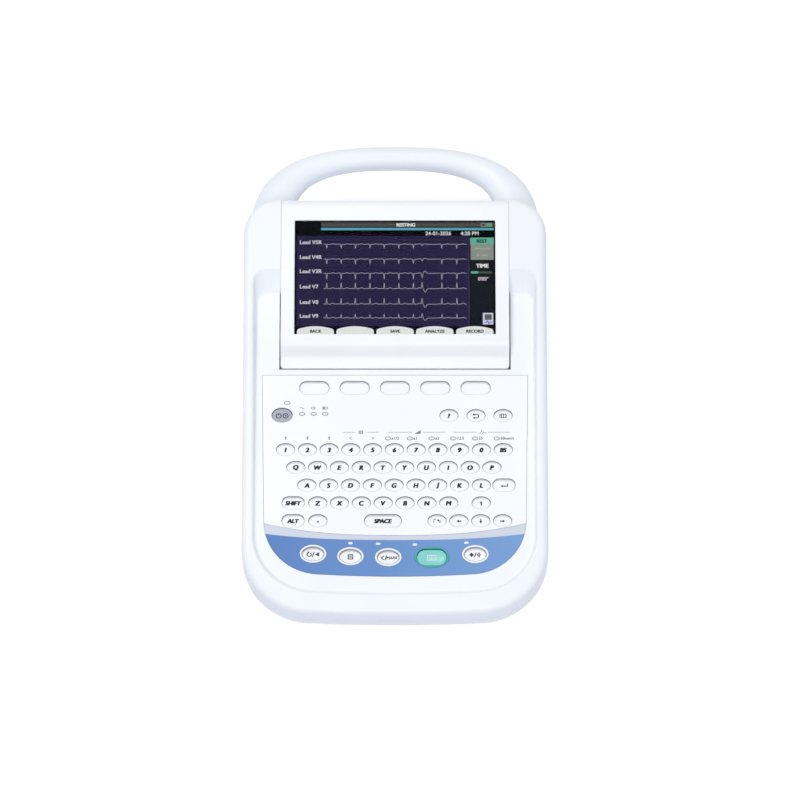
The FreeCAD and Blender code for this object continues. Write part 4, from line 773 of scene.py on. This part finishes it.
class ECG_OT_rims(Operator):
    """Raised rear rims of the white keys, greyed towards their edges with painted shade"""
    bl_idname = "ecg.rims"
    bl_label = "Key rims"

    def execute(self, context):
        c = context.scene.ecg_plastic
        a, b, wide = KEY_HALF
        rows = {body: [(first + KEY_PITCH * i, v, a, b, False) for i in range(len(words))]
                for body, (v, first, words) in KEY_ROWS.items()}
        rows[MIDDLE_ROW].append((ENTER_U, KEY_ROWS[MIDDLE_ROW][0], wide, b, True))
        v = KEY_ROWS[LOWER_ROW][0]
        rows[LOWER_ROW] += [(WIDE_U, v, wide, b, True), (UP_U, v, a, b, False)]
        rows["bottom_row"] = [(WIDE_U, BOTTOM_V, wide, b, True), (COMMA_U, BOTTOM_V, a, b, False),
                              (SPACE_U, BOTTOM_V, 14.2, b, True)]
        rows["bottom_row"] += [(ARROWS_U + KEY_PITCH * i, BOTTOM_V, a, b, False) for i in range(4)]
        for body, keys in rows.items():
            rear_rim(body + "_rims", keys, body, c.rim_shade, c.key)
        single = {"soft_button_%d" % (i + 1): (SOFT_PITCH * (i - 2), SOFT_V, 11.4, 5.5, True) for i in range(5)}
        single.update({body: (u, BUTTON_V, a, b, False) for body, u in BUTTONS.items()})
        for body, key in single.items():
            rear_rim(body + "_rim", [key], body, c.rim_shade, c.key)
        for body, key in STRIP_KEYS.items():
            if body != "record_button":
                u0, v0, a, b = key
                rear_rim(body + "_rim", [(u0, v0, a + 0.35, b + 0.35, False)], body, c.rim_shade, c.key,
                         lambda u, v, k=key: dished(u, v, *k))
        return {"FINISHED"}


class ECG_OT_strip_legends(Operator):
    """Icons on the dished keys of the blue strip"""
    bl_idname = "ecg.strip_legends"
    bl_label = "Strip legends"

    def execute(self, context):
        s = context.scene.ecg_legend
        dark, pale = printed("strip_ink", s.ink), printed("record_ink", (0.72, 0.86, 0.85))
        for body, shape in strip_shapes().items():
            key = STRIP_KEYS[body]
            flat_print(body + "_legend", moved(shape, key[0], key[1], 1.12), body,
                       pale if body == "record_button" else dark,
                       lambda u, v, k=key: dished(u, v, *k) + PRINT_LIFT * 1.5)
        return {"FINISHED"}


LENS_V = 159.9           # middle of the three small lenses under the mains, supply and battery signs
SIGN_V = 164.6
SIGN_U = (-70.1, -61.4, -52.7)
RULE_V = 145.2           # lines over the number keys


class ECG_OT_panel_print(Operator):
    """Small print and lines on the keyboard panel"""
    bl_idname = "ecg.panel_print"
    bl_label = "Panel print"

    def execute(self, context):
        s = context.scene.ecg_legend
        small, line = s.small / MM, s.line / MM
        figure = joined([polygon([(-0.95, 0.1), (0.95, 0.1), (0, 1.6)]), block(-0.32, -1.5, 0.32, 0.1)])
        shapes = [moved(figure, -82.4 + KEY_PITCH * i, 140.4) for i in range(3)]
        shapes += [moved(ribbon([(0.7, 1.1), (-0.8, 0), (0.7, -1.1)], line), -33.2, 140.4),
                   moved(ribbon([(-0.7, 1.1), (0.8, 0), (-0.7, -1.1)], line), -16.8, 140.4)]
        for start, end, middle in ((-39.0, -12.0, -25.6), (-5.0, 38.0, 17.0), (44.0, 87.0, 66.0)):
            shapes += [ribbon([(start, RULE_V), (middle - 4.2, RULE_V)], line * 0.8),
                       ribbon([(middle + 4.2, RULE_V), (end, RULE_V)], line * 0.8)]
        shapes += [block(-27.4 + 1.3 * i, 143.8, -26.6 + 1.3 * i, 146.6) for i in range(3)]
        shapes += [polygon([(14.6, 143.9), (19.4, 143.9), (19.4, 146.9)])]
        pulse = [(62.8, 144.2), (64.4, 144.2), (65.2, 146.8), (66.2, 143.6), (66.9, 145.6), (67.5, 144.6),
                 (69.2, 144.6)]
        shapes += [ribbon(pulse, line * 0.9)]
        for i, word in enumerate(("x1/2", "x1", "x2", "12.5", "25", "50mm/s")):
            shapes.append(moved(lettering(word, small, 0.12, 0.07, centre=False), -2.7 + KEY_PITCH * i, 139.3))
        t = np.linspace(0.0, 2 * math.pi, 13)
        wave = ribbon(np.stack([t / math.pi * 1.5 - 1.5, np.sin(t) * 0.75], 1), line)
        plug = joined([ribbon(arc_points(-0.6, 0, 0.9, 0.9, 90, 270), line),
                       ribbon([(-0.6, 0.9), (0.4, 0.9), (0.4, -0.9), (-0.6, -0.9)], line),
                       ribbon([(0.5, 0.4), (1.5, 0.4)], line * 0.8), ribbon([(0.5, -0.4), (1.5, -0.4)], line * 0.8),
                       ribbon([(-1.5, 0), (-2.2, 0)], line)])
        battery = joined([rim_line(-1.9, -0.9, 1.5, 0.9, line), block(1.7, -0.4, 2.1, 0.4),
                          block(-1.5, -0.5, 0.2, 0.5)])
        shapes += [moved(shape, u, SIGN_V) for u, shape in zip(SIGN_U, (wave, plug, battery))]
        lenses = [(-81.5, 168.8)] + [(u, LENS_V) for u in SIGN_U] + [(-5.2 + KEY_PITCH * i, 140.2) for i in range(6)]
        shapes += [ribbon(arc_points(u, v, 2.15, 1.3, 0, 345, 24), line * 1.1, True) for u, v in lenses]
        flat_print("panel_print", joined(shapes), "case", printed("panel_ink", s.slate), PRINT_LIFT)
        return {"FINISHED"}


LEADS = (      # name, level of the line, then the height of its spike, recovery wave and early beat, all in mm
    ("V5R", 18.6, -3.0, 0.5, -1.0), ("V4R", 30.6, -3.6, 0.45, -1.4), ("V3R", 42.0, -4.6, 0.5, -3.4),
    ("V7", 54.4, 4.5, 0.9, 5.0), ("V8", 66.8, 4.6, 0.9, 4.6), ("V9", 78.0, 3.0, 0.7, 3.4),
)
BEATS = np.array([24.3, 35.3, 46.1, 57.2, 68.0, 79.1, 90.2, 111.8, 123.2])
EARLY_BEAT = 96.8
TRACE_ENDS = (21.9, 130.6)
TABS = ((1.9, 29.9), (31.8, 60.2), (62.1, 90.4), (92.1, 120.5), (122.5, 150.8))
LEVEL_STEP = 0.035       # height from one level of the picture to the next


def trace(base, spike, t_wave, early):
    """One lead's line over x: base level plus, for each beat, a narrow bell for the spike, a wider one 4.6 mm later
    for the recovery wave and a small one 2.2 mm before it, and one early broad beat."""
    x = np.linspace(*TRACE_ENDS, 1100)
    gap = x[:, None] - BEATS[None, :]
    y = spike * np.exp(-(gap / 0.32) ** 2) + t_wave * np.exp(-((gap - 4.6) / 1.1) ** 2)
    y = y.sum(axis=1) + 0.35 * np.exp(-((gap + 2.2) / 0.7) ** 2).sum(axis=1)
    far = x - EARLY_BEAT
    y += early * np.exp(-(far / 0.5) ** 2) - 0.55 * early * np.exp(-((far - 2.3) / 1.1) ** 2)
    y += 0.10 * np.sin(x * 3.1 + base) + 0.07 * np.sin(x * 7.7 + 2.0 * base)
    return np.stack([x, base - y], axis=1)


def tab(x0, x1, crown, shoulder, base):
    """A label with a crowned top: its upper edge is the shoulder less the crown's rise times one minus the squared
    share of the half width, and quarter circles of radius 2.6 mm join it to straight sides."""
    middle, half, r = (x0 + x1) / 2.0, (x1 - x0) / 2.0, 2.6
    t = np.linspace(-1.0, 1.0, 21) * (half - r)
    top = np.stack([middle + t, shoulder - (shoulder - crown) * (1.0 - (t / (half - r)) ** 2)], axis=1)
    left = arc_points(x0 + r, shoulder + r, r, r, 180, 270, 7)
    right = arc_points(x1 - r, shoulder + r, r, r, 270, 360, 7)
    return polygon(np.concatenate([[(x0, base)], left, top, right, [(x1, base)]]))


class ECG_OT_picture(Operator):
    """Lit picture of the display: grid, six traces, side column and tabs"""
    bl_idname = "ecg.picture"
    bl_label = "Lit picture"

    def execute(self, context):
        c = context.scene.ecg_picture
        wide, tall = c.width / MM, c.height / MM
        ink, white = lit("picture_ink", (0.01, 0.01, 0.02)), lit("picture_white", (0.75, 0.75, 0.75))
        label, pale = lit("picture_label", (0.58, 0.56, 0.62)), lit("picture_pale", (0.42, 0.42, 0.36))
        parts, uv = [], []

        def add(shape, material, level):
            """Puts a shape in the picture; a higher level lies over a lower one."""
            parts.append((on_picture(shape[0], PICTURE_W + LEVEL_STEP * level), shape[1], material))
            uv.append(shape[0] * MM)

        def words(text, x, y, height, material, bold):
            """Text centred at x, y; y runs towards the user, so the letters are turned over."""
            flat, tris = lettering(text, height, 0.0, bold)
            add((flat * np.array([1.0, -1.0]) + np.array([x, y]), tris), material, 3)

        add(block(1.2, 11.7, 132.2, 84.6), lit_grid("picture_ground", c.ground, c.grid_line, c.grid, 0.0011), 1)
        panes = (      # name, colour, corners, level
            ("black", (0.001, 0.001, 0.002), (0.05, 0.05, wide - 0.05, tall - 0.05), 0),
            ("bar", c.bar, (19.8, 0.7, wide - 1.0, 5.0), 1),
            ("bar_middle", tint(c.bar, 1.45), (19.8, 1.9, wide - 1.0, 3.6), 2),
            ("line", c.line, (19.8, 5.3, wide - 1.0, 7.1), 1),
            ("side", c.side, (133.2, 13.0, 151.2, 84.6), 1),
            ("rule", (0.10, 0.06, 0.20), (132.2, 12.4, 132.6, 84.6), 2),
            ("cell", (0.12, 0.30, 0.18), (145.8, 1.3, 150.2, 4.4), 3),
            ("mark", c.mark, (133.4, 13.1, 151.4, 18.5), 2),
            ("field", c.field, (133.8, 18.5, 151.2, 31.1), 2),
            ("slot", (0.05, 0.08, 0.055), (134.0, 40.4, 150.0, 42.1), 2),
            ("done", c.mark, (134.0, 40.3, 139.5, 42.2), 3),
            ("icon", (0.55, 0.58, 0.78), (142.8, 73.8, 150.7, 83.1), 2),
            ("icon_top", (0.10, 0.12, 0.10), (144.2, 75.0, 149.6, 79.4), 3),
        )
        for name, colour, corners, level in panes:
            add(block(*corners), lit("picture_" + name, colour), level)
        add(rim_line(141.8, 1.5, 145.0, 4.2, 0.4), lit("picture_case", (0.3, 0.3, 0.28)), 3)
        pulse = [(144.0, 81.4), (145.6, 81.4), (146.4, 79.9), (147.4, 82.6), (148.2, 81.2), (149.8, 81.2)]
        add(ribbon(pulse, 0.5), lit("picture_icon_line", (0.09, 0.10, 0.42)), 3)
        add(joined([tab(x0, x1, 84.5, 86.2, 91.0) for x0, x1 in TABS]), lit("picture_tab", c.tab), 2)
        add(joined([ribbon(trace(*lead[1:]), c.trace / MM) for lead in LEADS]), lit("picture_wave", c.wave), 2)
        for name, level, *_ in LEADS:
            words("Lead " + name, 12.2 if len(name) > 2 else 11.0, level - 1.7, 2.95, label, 0.12)
        texts = [      # text, x, y, height, material, bold
            ("RESTING", 84.5, 2.8, 2.5, white, 0.16), ("24-01-2026      4:28 PM", 119.6, 9.7, 2.9, white, 0.06),
            ("REST", 142.4, 15.9, 2.6, ink, 0.16), ("10 mm/mV", 142.6, 21.8, 1.7, pale, 0.06),
            ("25 mm/s", 142.6, 27.3, 1.7, pale, 0.06), ("TIME", 142.6, 35.9, 3.0, white, 0.2),
            ("0'05\"", 143.2, 46.4, 2.6, label, 0.12),
        ]
        texts += [(text, x, 88.5, 2.3, ink, 0.16)
                  for text, x in (("BACK", 16.2), ("SAVE", 76.4), ("ANALYZE", 106.4), ("RECORD", 136.8))]
        for text in texts:
            words(*text)
        thin_piece("lit_picture", parts, "lid", uv)
        return {"FINISHED"}


# ---- studio
def show_to_camera(tree):
    """One for rays from the camera, mirrors and clear surfaces, and zero for the light that lands on things."""
    path = add_node(tree, "LightPath", {})
    total = path.outputs["Is Camera Ray"]
    for kind in ("Is Glossy Ray", "Is Transmission Ray"):
        total = add_node(tree, "Math", {0: total, 1: path.outputs[kind]}, operation="ADD", use_clamp=True).outputs[0]
    return total


def two_ways(tree, lighting, seen, output):
    """Feeds an output with one shader for the light that lands on things and another for what the camera sees."""
    mix = add_node(tree, "MixShader", {"Fac": show_to_camera(tree), 1: lighting, 2: seen})
    feed(tree, output, {"Surface": mix.outputs["Shader"]})


def aimed(name, data, place, target):
    """A lamp or camera at a place, turned to a target."""
    thing = bpy.data.objects.new(name, data)
    bpy.context.scene.collection.objects.link(thing)
    thing.location = place
    thing.rotation_euler = (Vector(target) - Vector(place)).to_track_quat("-Z", "Y").to_euler()
    return thing


CAMERA_LENS = 267.2
CAMERA_DISTANCE = 4.5
CAMERA_LIFT = math.radians(65.65)
CAMERA_TARGET = Vector((0.0038, FRONT_Y * MM + 0.1761, 0.042))


class ECG_OT_studio(Operator):
    """Pale floor, soft light and camera"""
    bl_idname = "ecg.studio"
    bl_label = "Studio"

    def execute(self, context):
        scene, level = context.scene, context.scene.ecg_studio
        scene.view_settings.view_transform = "Standard"
        scene.world = bpy.data.worlds.new("studio")
        scene.world.use_nodes = True
        tree = scene.world.node_tree
        sky = tree.nodes["Background"]
        feed(tree, sky, {"Color": (0.94, 0.96, 1.0, 1.0), "Strength": level.sky})
        seen = add_node(tree, "Background", {"Color": (1.0, 1.0, 1.0, 1.0)})
        two_ways(tree, sky.outputs["Background"], seen.outputs["Background"], tree.nodes["World Output"])

        mesh = bpy.data.meshes.new("floor")
        mesh.from_pydata([(-4, -4, 0), (4, -4, 0), (4, 4, 0), (-4, 4, 0)], [], [(0, 1, 2, 3)])
        floor = bpy.data.objects.new("floor", mesh)
        scene.collection.objects.link(floor)
        material, tree, shader = new_material("studio_floor")
        shade = tuple(level.shade)
        rest = tuple(1.55 * (1.0 - s) for s in shade)
        feed(tree, shader, {"Base Color": ramp(tree, noise(tree, 3.0), (0.73, 0.74, 0.93), (0.76, 0.77, 0.96)),
                            "Roughness": 0.9, "Specular IOR Level": 0.0})
        glow = add_node(tree, "Emission", {"Color": (*shade, 1.0)})
        cover = add_node(tree, "BsdfDiffuse", {"Color": (*rest, 1.0)})
        both = add_node(tree, "AddShader", {0: glow.outputs["Emission"], 1: cover.outputs["BSDF"]})
        two_ways(tree, shader.outputs["BSDF"], both.outputs["Shader"], tree.nodes["Material Output"])
        mesh.materials.append(material)

        for name, place, size, power in (("key_lamp", (-0.9, 1.1, 3.2), 0.7, level.key),
                                         ("fill_lamp", (-0.1, -1.6, 2.85), 1.6, level.fill)):
            lamp = bpy.data.lights.new(name, "AREA")
            lamp.shape = "DISK"
            lamp.size = size
            lamp.energy = power
            aimed(name, lamp, place, (0.0, 0.0, 0.04))

        camera = bpy.data.cameras.new("camera")
        camera.lens = CAMERA_LENS
        camera.clip_end = 20.0
        place = CAMERA_TARGET + Vector((0.0, -math.cos(CAMERA_LIFT), math.sin(CAMERA_LIFT))) * CAMERA_DISTANCE
        scene.camera = aimed("camera", camera, place, CAMERA_TARGET)
        return {"FINISHED"}


OPERATORS = (ECG_OT_mouldings, ECG_OT_keys, ECG_OT_rims, ECG_OT_works, ECG_OT_lid, ECG_OT_panel, ECG_OT_legends,
             ECG_OT_strip_legends, ECG_OT_panel_print, ECG_OT_picture, ECG_OT_studio)
GROUPS = {"ecg_plastic": PlasticColours, "ecg_legend": LegendSizes, "ecg_picture": PictureColours,
          "ecg_studio": StudioLevels}


class ECG_PT_sidebar(Panel):
    """Sizes, colours and steps of the electrocardiograph"""
    bl_idname = "ECG_PT_sidebar"
    bl_label = "Electrocardiograph"
    bl_space_type = "VIEW_3D"
    bl_region_type = "UI"
    bl_category = "Electrocardiograph"

    def draw(self, context):
        for key, group in GROUPS.items():
            box = self.layout.box()
            for name in group.__annotations__:
                box.prop(getattr(context.scene, key), name)
        for operator in OPERATORS:
            self.layout.operator(operator.bl_idname)


def register():
    """Adds the classes and the property groups."""
    for item in (*GROUPS.values(), *OPERATORS, ECG_PT_sidebar):
        bpy.utils.register_class(item)
    for key, group in GROUPS.items():
        setattr(bpy.types.Scene, key, PointerProperty(type=group))


def unregister():
    """Takes them away again."""
    for key in GROUPS:
        delattr(bpy.types.Scene, key)
    for item in reversed((*GROUPS.values(), *OPERATORS, ECG_PT_sidebar)):
        bpy.utils.unregister_class(item)


def main():
    """Registers the add-on and makes every piece in order."""
    register()
    for operator in OPERATORS:
        group, step = operator.bl_idname.split(".")
        getattr(getattr(bpy.ops, group), step)()


if __name__ == "__main__":
    main()
